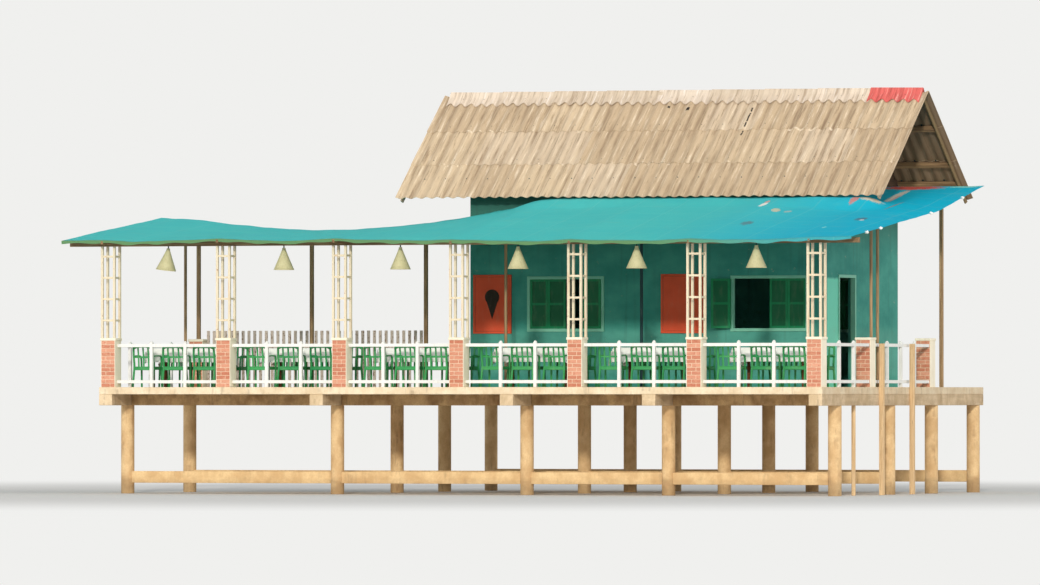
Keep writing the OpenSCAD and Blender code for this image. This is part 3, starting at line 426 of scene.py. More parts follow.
def timber_finish(name, along, pale, dark, relief=0.0025, rear=None):
    """Bare timber with grain along an axis; rear is the tone behind REAR_FROM."""
    f = Finish(name)
    grain = f.clouds(stretched(0.035, 0.9, along), 7, 0.62, twist=0.6)
    fibre = f.clouds(stretched(0.007, 0.18, along), 3)
    patch = f.clouds(0.6, 3)
    splits = f.rise(f.clouds(stretched(0.0175, 0.45, along)), 0.68, 0.74)
    colour = f.mix(f.rise(grain, 0.3, 0.7), dark, pale)
    colour = f.mix(f.rise(patch, 0.45, 0.75) * 0.4, colour, f.shade(pale, 0.75))
    colour = f.mix(splits * 0.8, colour, f.shade(dark, 0.45))
    if rear:
        behind = f.rise(f.y, REAR_FROM - 0.02, REAR_FROM + 0.02)
        colour = f.mix(behind, colour, f.mix(grain, f.shade(rear, 0.7), rear))
    return f.feed(colour, 0.78 + fibre * 0.15, relief=grain + fibre * 0.5 - splits * 1.5, depth=relief)


timber_x = timber_finish("timber_along_x", "X", paint(170, 138, 100), paint(104, 78, 52))
timber_y = timber_finish("timber_along_y", "Y", paint(160, 128, 92), paint(96, 72, 48))
timber_z = timber_finish("timber_along_z", "Z", paint(186, 154, 114), paint(126, 98, 68))
pale_post = timber_finish("pale_post", "Z", paint(238, 206, 160), paint(196, 160, 116))
barge_timber = timber_finish("barge_timber", "Y", paint(196, 176, 150), paint(158, 136, 112), rear=paint(134, 112, 76))
# painted shade: the boards' dark brown is partly shade under the verge, and the gable wall behind is painted near
# black as shade
gable_timber = timber_finish("gable_timber", "Y", paint(92, 66, 42), paint(44, 28, 18), relief=0.004)
dark_gable = timber_finish("dark_gable", "Y", paint(58, 40, 26), paint(26, 17, 11))
table_wood = timber_finish("table_wood", "X", paint(132, 74, 42), paint(78, 40, 22), relief=0.0006)
print("eight timbers, along X, Y or Z")

# %% [markdown]
# ## Walls and joinery
# The walls are limewashed teal over rough render: cloudy and streaked, darker under the eaves as painted shade,
# and a little paler below the windows as a painted band of sunlight. Beside the doorway a paler painted sunlit
# patch reaches up to the door's height. Frames, leaves and panels are oil paint on wood, with a slow change of
# tone and grain under the paint; the sunk panels of the window leaves are darker than the bars round them, as
# painted shade.


# %% Walls and joinery
def limewash(name, sunlit_to=0.0):
    """Stained teal limewash, painted darker under the eaves as shade and paler below the windows as sunlight, and
    paler still as a sunlit patch up to a height.
    """
    f = Finish(name)
    cloud = f.clouds((0.9, 0.9, 0.6), 7, 0.62)
    trowel = f.clouds((0.12, 0.12, 0.09), 5)
    drip = f.rise(f.clouds((0.09, 0.09, 1.8)), 0.5, 0.76)
    # painted light: a paler band of sunlight below the windows
    sun_band = f.band(f.z + cloud * 0.14, deck + 0.3, deck + 1.2, 0.1)
    # painted shade: the wall darkens under the eaves
    eave_shade = f.rise(f.z + cloud * 0.5, deck + 2.7, deck + 4.0)
    flake = f.rise(f.clouds((0.16, 0.16, 0.12), 7, 0.7), 0.64, 0.68)
    teal = f.mix(f.rise(cloud, 0.3, 0.72), paint(48, 138, 126), paint(76, 164, 148))
    teal = f.mix(drip * 0.35, teal, paint(34, 100, 92))
    # painted light: a paler sunlit patch up to the given height
    if sunlit_to:
        teal = f.mix(1 - f.rise(f.z + trowel * 0.05, sunlit_to - 0.02, sunlit_to + 0.04), teal, paint(124, 222, 194))
    teal = f.mix(sun_band * 0.2, teal, paint(126, 188, 170))
    teal = f.mix(eave_shade * 0.75, teal, paint(30, 66, 52))
    teal = f.mix(flake * 0.5, teal, paint(150, 172, 148))
    return f.feed(teal, 0.88 - drip * 0.1, relief=trowel + cloud * 0.5 - flake * 0.5, depth=0.005)


teal_limewash, fresh_limewash = limewash("teal_limewash"), limewash("fresh_limewash", sunlit_to=deck + 2.14)


def joinery_paint(name, tone, worn_tone, gloss=0.42, chips=0.66):
    """Oil paint: worn_tone shows where it is chipped, the less the higher chips is."""
    f = Finish(name, **{"Specular IOR Level": 0.2})
    grain = f.clouds(stretched(0.016, 0.4, "Z"))
    fade = f.clouds((0.5, 0.5, 0.4), 5)
    dust = f.rise(f.clouds((0.08, 0.08, 0.3), 5), 0.48, 0.78)
    bare = f.rise(f.clouds((0.03, 0.03, 0.05), 6, 0.66), chips, chips + 0.04)
    colour = f.mix(f.rise(fade, 0.3, 0.7) * 0.5, tone, f.shade(tone, 0.76))
    colour = f.mix(dust * 0.07, colour, paint(196, 186, 160))
    colour = f.mix(bare, colour, worn_tone)
    return f.feed(colour, gloss + fade * 0.16 + bare * 0.3, relief=grain * 0.6 - bare, depth=0.0012)


window_paint = joinery_paint("window_paint", paint(134, 204, 178), paint(96, 120, 94))
leaf_green = joinery_paint("leaf_green", paint(10, 134, 84), paint(26, 84, 50), chips=0.72)
# painted shade: a darker green for the sunk panels of the leaves
leaf_panel = joinery_paint("leaf_panel", paint(2, 100, 62), paint(16, 66, 42), chips=0.72)
red_board = joinery_paint("red_board", paint(236, 92, 58), paint(150, 58, 38), gloss=0.55, chips=0.7)
red_border = joinery_paint("red_border", paint(168, 64, 46), paint(100, 42, 32), gloss=0.5)
plaque_paint = joinery_paint("plaque_paint", paint(44, 34, 22), paint(80, 60, 34), gloss=0.5)
dark_steel = joinery_paint("dark_steel", paint(22, 58, 62), paint(92, 60, 40), gloss=0.4)
print("two limewashes and seven paints")

# %% [markdown]
# ## Roof, lamps and plastic
# The roof sheets are fibre cement: chalky tan, each sheet a little different, with thin brown and pale runs down
# the slope and a broken white line where lime gathers on the foot of each course; their undersides are painted
# dark brown as shade. How far a point lies up the slope follows from its distance from the ridge, so both slopes
# use one finish. One crack and two holes near the ridge show in the photograph: they are not cut but painted
# dark as the shade inside them. The lamps are dull enamel, the chairs moulded plastic.

# %% Roof, lamps and plastic
eave_low, eave_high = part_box("roof_front")
cap_low, cap_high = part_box("ridge_caps")
CAP_RISE, RISE, RUN = 0.053, 2.09, 2.63
WAVES, COURSES, LEFT_OVER = 45, 3, 0.145
ridge_y, ridge_line = (cap_low.y + cap_high.y) / 2, cap_high.z - CAP_RISE
pitch_angle = math.atan(RISE / RUN)
eave_z = ridge_line - (ridge_y - eave_low.y) * math.tan(pitch_angle)
slope_length = (ridge_y - eave_low.y) / math.cos(pitch_angle)
WAVE = (eave_high.x - eave_low.x) / WAVES
COURSE = (slope_length - LEFT_OVER) / COURSES


def fibre_cement_finish(name, pale, dark, growth, lime, laps=False):
    """Fibre cement with runs of growth and of lime, shade painted on its undersides; laps adds lime lines and a crack
    and two holes in painted shade.
    """
    f = Finish(name)
    own = f.attribute("tint")
    moved = f.node("ShaderNodeCombineXYZ", {"X": f.x + own * 7.3, "Y": f.y, "Z": f.z})
    broad = f.clouds((0.5, 0.9, 0.9), 6, on=moved)
    runs = f.clouds((0.05, 1.0, 1.0), 7, 0.74, on=moved)
    wide_runs = f.clouds((0.16, 1.8, 1.8), 3, on=moved)
    spots = f.rise(f.clouds((0.05, 0.07, 0.07), 6, 0.7), 0.62, 0.74)
    fibre = f.clouds(0.012, 3)
    colour = f.mix(f.rise(own, 0.1, 0.9), dark, pale)
    colour = f.mix(f.rise(own, 0.7, 0.95) * 0.3, colour, paint(206, 188, 170))
    colour = f.mix(f.rise(broad, 0.35, 0.7) * 0.35, colour, f.shade(colour, 0.84))
    colour = f.mix(f.rise(runs, 0.52, 0.64) * 0.7, colour, growth)
    colour = f.mix(f.rise(wide_runs, 0.56, 0.7) * 0.22, colour, growth)
    colour = f.mix((1 - f.rise(runs, 0.34, 0.46)) * 0.62, colour, lime)
    colour = f.mix(spots * 0.3, colour, growth)
    hollow = f.rise(((f.x - eave_low.x) * (2 * math.pi / WAVE) + math.pi / 2).sin(), 0.25, 1.0)
    kept = f.rise(f.clouds((0.34, 1.1, 1.1), 5, 0.6), 0.4, 0.66)
    colour = f.mix(hollow * kept * 0.62, colour, growth)
    # painted shade: faces that the wavy tree marks as under are painted dark brown
    colour = f.mix(f.attribute("under") * 0.8, colour, paint(104, 80, 56))
    if laps:
        up = slope_length - (f.y - ridge_y).abs() / math.cos(pitch_angle)
        dashes = f.rise(f.clouds((0.07, 0.5, 0.5)), 0.5, 0.6)
        dashes = dashes * f.rise(f.clouds(0.8), 0.46, 0.56)
        for k in (1, 2):
            colour = f.mix(f.band(up, k * COURSE, k * COURSE + 0.04, 0.01) * dashes * 0.7, colour, lime)
        front_side = 1 - f.rise(f.y, ridge_y - 0.02, ridge_y)
        # painted shade: a crack and two holes are painted dark, not cut
        crack = f.band(f.x + f.clouds((0.5, 0.2, 0.2)) * 0.04, 3.672, 3.698, 0.006) * f.band(up, 1.95, 2.96, 0.02)
        crack = crack * f.rise(f.clouds((0.6, 0.12, 0.12), 2), 0.4, 0.46)
        holes = f.band(f.x, 1.85, 1.9, 0.008) * f.band(up, 2.87, 2.93, 0.012)
        holes = holes.most(f.band(f.x, 2.26, 2.33, 0.01) * f.band(up, 2.78, 2.88, 0.012))
        colour = f.mix(crack.most(holes) * front_side, colour, paint(34, 26, 20))
    return f.feed(colour, 0.84 + fibre * 0.14, relief=fibre + spots * 0.4, depth=0.0025)


fibre_cement = fibre_cement_finish("fibre_cement", paint(214, 191, 159), paint(197, 173, 142), paint(138, 113, 88),
                                   paint(246, 230, 206), laps=True)
ridge_cement = fibre_cement_finish("ridge_cement", paint(234, 216, 196), paint(214, 195, 172), paint(156, 132, 108),
                                   paint(250, 242, 236))
red_cement = fibre_cement_finish("red_cement", paint(230, 112, 104), paint(210, 88, 84), paint(156, 66, 58),
                                 paint(250, 196, 184))

enamel = Finish("lamp_enamel")
film = enamel.clouds(0.12, 5)
streak = enamel.rise(enamel.clouds((0.02, 0.02, 0.3)), 0.5, 0.75)
ivory = enamel.mix(film, paint(220, 212, 170), paint(188, 180, 132))
ivory = enamel.mix(streak * 0.35, ivory, paint(122, 112, 72))
lamp_enamel = enamel.feed(ivory, 0.42 + film * 0.2, relief=film, depth=0.001)

plastic = Finish("green_plastic", **{"Specular IOR Level": 0.45})
haze = plastic.clouds(0.25)
skin = plastic.clouds(0.006, 2)
own = plastic.attribute("tint")
green = plastic.mix(own, paint(20, 132, 70), paint(52, 158, 84))
green = plastic.mix(plastic.rise(haze, 0.45, 0.8) * 0.35, green, paint(120, 176, 116))
green_plastic = plastic.feed(green, 0.38 + haze * 0.22, relief=skin, depth=0.0004)
print("fibre cement in three tones, enamel and plastic")

# %% [markdown]
# ## Cloth
# Both cloths carry a UV map in metres along their own surface, so the weave follows the folds. The canopy is
# woven plastic tape: turquoise, bluer towards its right end, with the square creases of the pack it was sold
# in, faded along its ridges, and greener in the doubled hem. It is worn through or patched at a few places,
# which are written down by their place and size on the sheet. The tablecloths are plain white cotton.

# %% Cloth
tarp = Finish("woven_tarp", **{"Specular IOR Level": 0.08})
u, v = tarp.on_cloth()
TAPE, THREAD = 2 * math.pi / 0.006, 2 * math.pi / 0.0016
weave = (u * TAPE).sin() * (v * TAPE).sin()
crease_u = 1 - tarp.rise(((u % 0.92) - 0.46).abs(), 0.0, 0.02)
crease_v = 1 - tarp.rise(((v % 0.74) - 0.37).abs(), 0.0, 0.02)
creases = crease_u.most(crease_v)
fade = tarp.clouds((1.5, 0.7, 1.0), 6, 0.6)
blotch = tarp.rise(tarp.clouds((0.5, 0.3, 0.5), 6), 0.55, 0.8)
towards_end = tarp.rise(tarp.x, 3.4, 8.0)
sheet_tone = tarp.mix(fade, paint(50, 186, 190), paint(88, 202, 196))
sheet_tone = tarp.mix(towards_end, sheet_tone, tarp.mix(fade, paint(0, 170, 204), paint(4, 186, 214)))
sheet_tone = tarp.mix(blotch * 0.2, sheet_tone, paint(120, 186, 172))
sheet_tone = tarp.mix(creases * 0.25, sheet_tone, paint(130, 212, 206))
hem = tarp.attribute("hem")
sheet_tone = tarp.mix(hem * (1 - towards_end * 0.6), sheet_tone, paint(100, 142, 98))
frayed = tarp.clouds((0.045, 0.1, 0.1), 7, 0.78, twist=1.2)
SPOTS = [  # place on the sheet, half its width and depth, its turn in degrees, its colour and how solid it is
    (4.95, -0.98, 0.05, 0.22, 0, paint(240, 236, 226), 0.9), (4.93, -0.72, 0.04, 0.12, 0, paint(226, 150, 140), 0.7),
    (5.36, -1.40, 0.08, 0.18, 10, paint(226, 204, 160), 0.7), (5.62, -1.44, 0.07, 0.12, 0, paint(206, 190, 168), 0.5),
    (5.35, -2.98, 0.11, 0.22, 0, paint(96, 112, 122), 0.7), (5.66, -0.28, 0.05, 0.10, 0, paint(120, 226, 186), 0.7),
    (7.08, -3.40, 0.04, 0.10, 0, paint(150, 222, 220), 0.8), (6.64, -0.42, 0.08, 0.28, 0, paint(214, 130, 116), 0.85),
    (6.92, -0.28, 0.22, 0.18, 18, paint(222, 204, 176), 0.85), (7.38, -2.16, 0.11, 0.22, 0, paint(84, 96, 112), 0.7),
    (7.44, -2.30, 0.04, 0.08, 0, paint(226, 226, 220), 0.9), (6.88, 1.30, 0.09, 0.95, 5, paint(226, 208, 186), 0.85),
    (6.96, 0.95, 0.04, 0.50, 5, paint(190, 132, 120), 0.6), (7.80, 2.68, 0.36, 0.07, 0, paint(150, 222, 200), 0.8),
    (6.75, 2.55, 0.62, 0.28, 0, paint(214, 74, 44), 0.9)]
for x, y, wide, deep, turn, tone, solid in SPOTS:
    c, k = math.cos(math.radians(turn)), math.sin(math.radians(turn))
    along, up = ((u - x) * c + (v - y) * k) / wide, ((v - y) * c - (u - x) * k) / deep
    spot = 1 - tarp.rise(along * along + up * up + (frayed - 0.5) * 5.6, 0.6, 1.3)
    sheet_tone = tarp.mix(spot * solid, sheet_tone, tone)
woven_tarp = tarp.feed(sheet_tone, 0.62 + fade * 0.2, relief=weave * 0.15 + creases * 1.5 + fade, depth=0.003)

cotton = Finish("white_cotton", **{"Sheen Weight": 0.2, "Sheen Roughness": 0.5})
u, v = cotton.on_cloth()
threads = (u * THREAD).sin() + (v * THREAD).sin()
marks = cotton.clouds(0.3, 5)
linen = cotton.mix(cotton.rise(marks, 0.4, 0.8) * 0.5, paint(250, 250, 246), paint(226, 224, 212))
white_cotton = cotton.feed(linen, 0.9, relief=threads * 0.1 + marks, depth=0.0008)
print("a woven sheet and white cotton")

# %% [markdown]
# ## CAD parts with eased edges
# A cast beam or a sawn board never ends in a knife edge. So each hard CAD part is copied, its loose triangles
# are merged into whole faces, and a Bevel modifier rounds the edges by a few millimetres. The copy's stored
# normals belong to its old triangles, so they are dropped first, and the bevel makes new ones that keep the flat
# faces flat. The bevel's own faces may take a second material, which is how paint wears off along an edge. The
# feet of the barge boards are sawn nearly level first, as the photograph shows them.


# %% CAD parts with eased edges
def plain_mesh(piece):
    """Turns a piece's modifiers into its mesh, and removes them."""
    bpy.context.view_layer.update()
    graph = bpy.context.evaluated_depsgraph_get()
    made = bpy.data.meshes.new_from_object(piece.evaluated_get(graph), preserve_all_data_layers=True, depsgraph=graph)
    piece.modifiers.clear()
    piece.data = made
    return piece


def put(piece, slot, *nodes):
    """Hides the CAD nodes that a piece stands for, and lets it ride on the house; slot is not used."""
    if nodes:
        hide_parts(*nodes)
    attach(piece, "root")
    return piece


def smooth(mesh, angle=35):
    mesh.shade_smooth()
    mesh.set_sharp_from_angle(angle=math.radians(angle))


def level_feet(work, cut=0.09):
    """Saws the feet of the barge boards nearly level, so that their lower corners don't hang below the eaves."""
    reach = max(abs(v.co.y - ridge_y) for v in work.verts) - 0.001
    feet = [v for v in work.verts if abs(v.co.y - ridge_y) > reach]
    middle = (min(v.co.z for v in feet) + max(v.co.z for v in feet)) / 2
    for v in (v for v in feet if v.co.z < middle):
        v.co += Vector((0, math.copysign(cut / math.tan(pitch_angle), ridge_y - v.co.y), cut))


def eased(node, slot, finish, width=0.004, edge=None):
    """A copy of a CAD node with its edges rounded, in place of the node."""
    piece = added(node + "_eased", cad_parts[node].data.copy())
    work = bmesh.new()
    work.from_mesh(piece.data)
    bmesh.ops.remove_doubles(work, verts=work.verts, dist=2e-5)
    bmesh.ops.dissolve_limit(work, angle_limit=math.radians(1.5), verts=work.verts, edges=work.edges)
    if node == "barge_boards":
        level_feet(work)
    work.to_mesh(piece.data)
    work.free()
    stored = piece.data.attributes.get("custom_normal")
    if stored:
        piece.data.attributes.remove(stored)
    piece.data.materials.clear()
    for material in (finish, edge) if edge else (finish,):
        piece.data.materials.append(material)
    smooth(piece.data, 180 if width else 35)
    if width:
        bevel = piece.modifiers.new("eased", "BEVEL")
        bevel.width, bevel.segments, bevel.limit_method = width, 2, "ANGLE"
        bevel.angle_limit, bevel.harden_normals = math.radians(40), True
        bevel.material = 1 if edge else -1
    plain_mesh(piece)
    print(f"{piece.name}: {len(piece.data.polygons)} faces")
    return put(piece, slot, node)


PLAIN_PARTS = [  # nodes, slot, finish, the width of the eased edge and the finish of a worn edge
    ("front_stilts rear_stilts", "concrete", stilt_concrete, 0.008),
    ("tie_beams", "concrete", tie_concrete, 0.01),
    ("long_beams", "concrete", beam_concrete, 0.01),
    ("cross_beams", "slab_concrete", end_concrete, 0.012),
    ("terrace_slab house_slab", "slab_concrete", slab_concrete, 0.012),
    ("pier_caps", "plaster", lime_plaster, 0.01),
    ("lattice_columns", "white_steel", white_steel),
    ("front_railing side_railings", "white_wood", white_wood, 0.005, worn_white),
    ("picket_fence", "white_wood", fence_paint, 0.003, worn_white),
    ("timber_posts", "timber", pale_post, 0.006),
    ("canopy_front_beam", "timber", timber_x, 0.006),
    ("canopy_rear_rail", "timber", timber_x, 0.005),
    ("canopy_rafters", "timber", timber_y, 0.005),
    ("canopy_posts", "timber", timber_z),
    ("dark_post", "dark_steel", dark_steel, 0.0),
    ("lamp_stems", "lamp", dark_steel, 0.0),
    ("front_wall rear_wall", "teal_wall", teal_limewash, 0.008),
    ("left_wall", "teal_wall", teal_limewash, 0.0),
    ("right_wall_front", "teal_wall", fresh_limewash, 0.0),
    ("right_wall_rear right_wall_head", "teal_wall", teal_limewash, 0.0),
    ("gable_boards", "gable_boards", dark_gable, 0.0),
    ("door_frame window_frames", "window_paint", window_paint),
    ("window_leaves", "leaf_green", leaf_green, 0.002),
    ("red_panels", "red_board", red_board, 0.004, red_border),
    ("leaf_plaque", "plaque", plaque_paint, 0.003),
    ("barge_boards", "timber", barge_timber),
    ("purlins", "timber", timber_x),
    ("roof_rafters", "timber", timber_y),
    ("tables", "table_wood", table_wood, 0.003),
]
for nodes, *how in PLAIN_PARTS:
    for node in nodes.split():
        eased(node, *how)


def shade_sunk(node, finish, deep, least):
    """Gives another finish to large upright faces that lie deeper than their own solid's outer faces: painted shade in
    the recesses.
    """
    piece = bpy.data.objects[node + "_eased"]
    piece.data.materials.append(finish)
    work = bmesh.new()
    work.from_mesh(piece.data)
    todo, count = set(work.faces), 0
    while todo:
        solid, queue = set(), [todo.pop()]
        while queue:
            face = queue.pop()
            solid.add(face)
            for near in (f for e in face.edges for f in e.link_faces if f in todo):
                todo.discard(near)
                queue.append(near)
        for face in (f for f in solid if abs(f.normal.z) < 0.1 and f.calc_area() > least):
            place = face.normal.dot(face.calc_center_median())
            if deep < max(face.normal.dot(v.co) for f in solid for v in f.verts) - place < 4 * deep:
                face.material_index, count = len(piece.data.materials) - 1, count + 1
    work.to_mesh(piece.data)
    work.free()
    print(f"{node}: {count} sunk faces")


shade_sunk("window_leaves", leaf_panel, 0.008, 0.05)

# %% [markdown]
# ## Rows of like pieces
# Roof sheets, ridge caps, bricks, bolts, lamps and chairs all stand in rows. One Geometry Nodes tree lays them
# all: it makes a point for each piece, moves it by its column and row, and sets one shape on each. A fixed seed
# turns and shifts every piece a little and gives it a tint of its own. The tree ends in Realize Instances and
# Set Material, since an exporter keeps only real faces.


# %% A tree for rows
class Pattern(Tree):
    """A Geometry Nodes tree with named inputs, run once to make a plain mesh."""

    def __init__(self, name, **inputs):
        super().__init__(bpy.data.node_groups.new(name, "GeometryNodeTree"))
        self.keys = {}
        for kind, labels in inputs.items():
            for label in labels.split(", "):
                made = self.tree.interface.new_socket(label, in_out="INPUT", socket_type="NodeSocket" + kind)
                self.keys[label] = made.identifier
        self.tree.interface.new_socket("Geometry", in_out="OUTPUT", socket_type="NodeSocketGeometry")
        self.given = self.tree.nodes.new("NodeGroupInput")

    def __getitem__(self, label):
        """The input of that name."""
        return Value(self, pick(self.given.outputs, label))

    def scatter(self, reach, seed):
        """A random vector for each point, up to reach either way."""
        return self.node("FunctionNodeRandomValue", {
            "Min": self.vector("SCALE", reach, -1.0), "Max": reach, "Seed": seed}, "Value", data_type="FLOAT_VECTOR")

    def lay(self, count, place, seed, scale=(1.0, 1.0, 1.0)):
        """Sets the shape on each point, turned a little, with a tint from 0 to 1 for its material to read."""
        points = self.node("GeometryNodeMeshLine", {"Count": count, "Offset": (0.0, 0.0, 0.0)}, mode="OFFSET")
        moved = self.node("GeometryNodeSetPosition", {"Geometry": points, "Position": place})
        shape = self.node("GeometryNodeObjectInfo", {"Object": self["Shape"]}, "Geometry", transform_space="ORIGINAL")
        laid = self.node("GeometryNodeInstanceOnPoints", {
            "Points": moved, "Instance": shape, "Rotation": self.scatter(self["Turn"], seed), "Scale": scale})
        chance = self.node("FunctionNodeRandomValue", {"Seed": seed + 1}, "Value", data_type="FLOAT")
        self.end(self.node("GeometryNodeStoreNamedAttribute", {"Geometry": laid, "Name": "tint", "Value": chance},
                           data_type="FLOAT", domain="INSTANCE"))

    def end(self, geometry):
        real = self.node("GeometryNodeRealizeInstances", {"Geometry": geometry})
        set_finish = self.node("GeometryNodeSetMaterial", {"Geometry": real, "Material": self["Finish"]})
        self.node("NodeGroupOutput", {"Geometry": set_finish})

    def make(self, name, values):
        """Runs the tree with these inputs and returns a new object with the mesh that it makes."""
        piece = added(name, bpy.data.meshes.new(name))
        run = piece.modifiers.new(self.tree.name, "NODES")
        run.node_group = self.tree
        for label, value in values.items():
            run[self.keys[label]] = [float(v) for v in value] if isinstance(value, tuple) else value
        return plain_mesh(piece)


rows = Pattern("rows_of_pieces", Object="Shape", Int="Columns, Rows, Seed", Material="Finish",
               Vector="Start, Column Step, Row Step, Odd Row Shift, Turn, Slip")
number = rows.node("GeometryNodeInputIndex")
column, row = number % rows["Columns"], ((number + 0.5) / rows["Columns"]).floor()
spot = rows["Start"]
for step, times in (("Column Step", column), ("Row Step", row), ("Odd Row Shift", row % 2)):
    spot = rows.vector("ADD", spot, rows.vector("SCALE", rows[step], times))
spot = rows.vector("ADD", spot, rows.scatter(rows["Slip"], rows["Seed"]))
rows.lay(rows["Columns"] * rows["Rows"], spot, rows["Seed"] + 1)
ZERO = (0, 0, 0)


def row_of(name, shape, finish, columns, rows_up, start, step=ZERO, row_step=ZERO, odd=ZERO, turn=ZERO, slip=ZERO,
           seed=1):
    """Lays columns and rows of a shape: turn and slip say how far a piece may be off, seed how they fall."""
    return rows.make(name, {
        "Shape": shape, "Columns": columns, "Rows": rows_up, "Start": start, "Column Step": step,
        "Row Step": row_step, "Odd Row Shift": odd, "Turn": turn, "Slip": slip, "Seed": seed, "Finish": finish})


print("the tree takes", len(rows.keys), "inputs")

# %% [markdown]
# ## Shapes written in points
# Some shapes are quicker to write than to model: a bar that follows points, a turned shade, a rounded block.
# Each helper adds faces to one bmesh. A shape that is only there to be repeated is removed afterwards.


# %% Shapes written in points
def shape_of(name, work, *finishes):
    """Closes a bmesh into a smooth object at the origin."""
    bmesh.ops.remove_doubles(work, verts=work.verts, dist=1e-5)
    bmesh.ops.recalc_face_normals(work, faces=work.faces)
    piece = built(name, work)
    for finish in finishes:
        piece.data.materials.append(finish)
    smooth(piece.data)
    return piece


def block(work, low, high, ease=0.004):
    """A box with its edges eased."""
    made = bmesh.ops.create_cube(work, size=1.0)["verts"]
    for v in made:
        v.co = Vector([low[i] + (v.co[i] + 0.5) * (high[i] - low[i]) for i in range(3)])
    if ease:
        edges = list({e for v in made for e in v.link_edges})
        bmesh.ops.bevel(work, geom=edges, offset=ease, segments=1, affect="EDGES", profile=0.7)


def box_shape(name, low, high, ease):
    """One block as an object."""
    work = bmesh.new()
    block(work, low, high, ease)
    return shape_of(name, work)


def ring_strip(work, rings, closed_ends=True):
    """Skins a list of rings of points, all with as many points, and caps the two ends."""
    verts = [[work.verts.new(p) for p in ring] for ring in rings]
    n = len(verts[0])
    for a, b in zip(verts, verts[1:]):
        for k in range(n):
            work.faces.new((a[k], a[(k + 1) % n], b[(k + 1) % n], b[k]))
    if closed_ends:
        work.faces.new(verts[0][::-1])
        work.faces.new(verts[-1])


def bend(points, steps=4):
    """A smooth line through a few points."""
    pts = [Vector(p) for p in points]
    full = [2 * pts[0] - pts[1]] + pts + [2 * pts[-1] - pts[-2]]
    line = []
    for a, b, c, d in zip(full, full[1:], full[2:], full[3:]):
        for k in range(steps):
            t = k / steps
            curve = (2 * a - 5 * b + 4 * c - d) * t * t + (3 * b - a - 3 * c + d) * t ** 3
            line.append(0.5 * (2 * b + (c - a) * t + curve))
    return line + [pts[-1]]


def bar(work, line, wide, deep, side=(1, 0, 0)):
    """A bar with cut corners along a line: wide is measured along side, deep square to it."""
    rings = []
    for k, p in enumerate(line):
        along = (line[min(k + 1, len(line) - 1)] - line[max(k - 1, 0)]).normalized()
        across = (Vector(side) - along * along.dot(Vector(side))).normalized()
        out = along.cross(across)
        w, d, cut = wide / 2, deep / 2, 0.3 * min(wide, deep)
        corners = [(w, d - cut), (w - cut, d), (cut - w, d), (-w, d - cut)]
        corners += [(-a, -b) for a, b in corners]
        rings.append([p + across * a + out * b for a, b in corners])
    ring_strip(work, rings)


def turned(name, profile, sides, closed=False):
    """A profile of (radius, height) turned round the upright axis; closed joins its end to its start."""
    work = bmesh.new()
    angles = [2 * math.pi * k / sides for k in range(sides)]
    rings = [[Vector((r * math.cos(a), r * math.sin(a), z)) for a in angles] for r, z in profile]
    ring_strip(work, rings + [rings[0]] if closed else rings, closed_ends=not closed)
    return shape_of(name, work)


def thickened(piece, thickness):
    """Gives a sheet its thickness, outwards from its faces."""
    thick = piece.modifiers.new("thick", "SOLIDIFY")
    thick.thickness, thick.offset = thickness, 1.0
    return plain_mesh(piece)


def gone(*shapes):
    for shape in shapes:
        bpy.data.objects.remove(shape)


def report(piece):
    print(f"{piece.name}: {sum(len(p.vertices) - 2 for p in piece.data.polygons)} triangles")


print("blocks, bars, turned shapes and strips")

# %% [markdown]
# ## Corrugated roof sheets
# Each slope carries three courses of corrugated fibre-cement sheets. A course has nine sheets of five waves,
# and each upper course lies over the one below. The wave is a rule, so Geometry Nodes makes the sheet: a grid
# is lifted by a cosine across it and tipped a little, so that its lower end and its right edge lie over their
# neighbours. The rows tree then lays 27 of them, none quite straight.

# %% One wavy sheet
wavy = Pattern("wavy_sheet", Float="Width, Length, Wave Depth, Thickness, End Lift, Side Lift", Int="Waves",
               Material="Finish")
grid = wavy.node("GeometryNodeMeshGrid", {
    "Size X": wavy["Width"], "Size Y": wavy["Length"], "Vertices X": wavy["Waves"] * 10 + 1, "Vertices Y": 4}, "Mesh")
across, upwards, _ = wavy.split(wavy.node("GeometryNodeInputPosition"))
across, upwards = across / wavy["Width"], upwards / wavy["Length"]
turns = (across + 0.5) * wavy["Waves"] + 0.25
lift = (turns * (2 * math.pi)).sin() * wavy["Wave Depth"] * 0.5 + wavy["End Lift"] * (0.5 - upwards)
lift = lift + wavy["Side Lift"] * across
curved = wavy.node("GeometryNodeSetPosition", {
    "Geometry": grid, "Offset": wavy.node("ShaderNodeCombineXYZ", {"Z": lift})})
upper = wavy.node("GeometryNodeExtrudeMesh", {
    "Mesh": curved, "Offset Scale": wavy["Thickness"], "Individual": False}, "Mesh", mode="FACES")
under = wavy.node("GeometryNodeStoreNamedAttribute", {
    "Geometry": wavy.node("GeometryNodeFlipFaces", {0: curved}), "Name": "under", "Value": 1.0},
    data_type="FLOAT", domain="FACE")
joined = wavy.node("GeometryNodeJoinGeometry", {"Geometry": [upper, under]})
wavy.end(wavy.node("GeometryNodeMergeByDistance", {"Geometry": joined, "Distance": 1e-5}))

LAP, STEP_WAVES = 0.13, 5
SHEET_LENGTH = COURSE + LAP
one_sheet = wavy.make("one_sheet", {
    "Width": (STEP_WAVES + 1) * WAVE, "Length": SHEET_LENGTH, "Waves": STEP_WAVES + 1, "Wave Depth": 0.038,
    "Thickness": 0.006, "End Lift": 0.012, "Side Lift": 0.006, "Finish": fibre_cement})
smooth(one_sheet.data)
print("wave", round(WAVE, 4), "m; slope", round(math.degrees(pitch_angle), 1), "degrees")
print("sheet", round(SHEET_LENGTH, 3), "m long")

# %% [markdown]
# ## Both slopes
# The rows tree lays the sheets in a flat plan, with X along the eave and Y up the slope. The plan is then tipped
# to the roof's pitch and moved to the eave; for the rear slope it is turned round first. Bolts with washers are
# turned shapes, and they stand in four rows on every second wave.


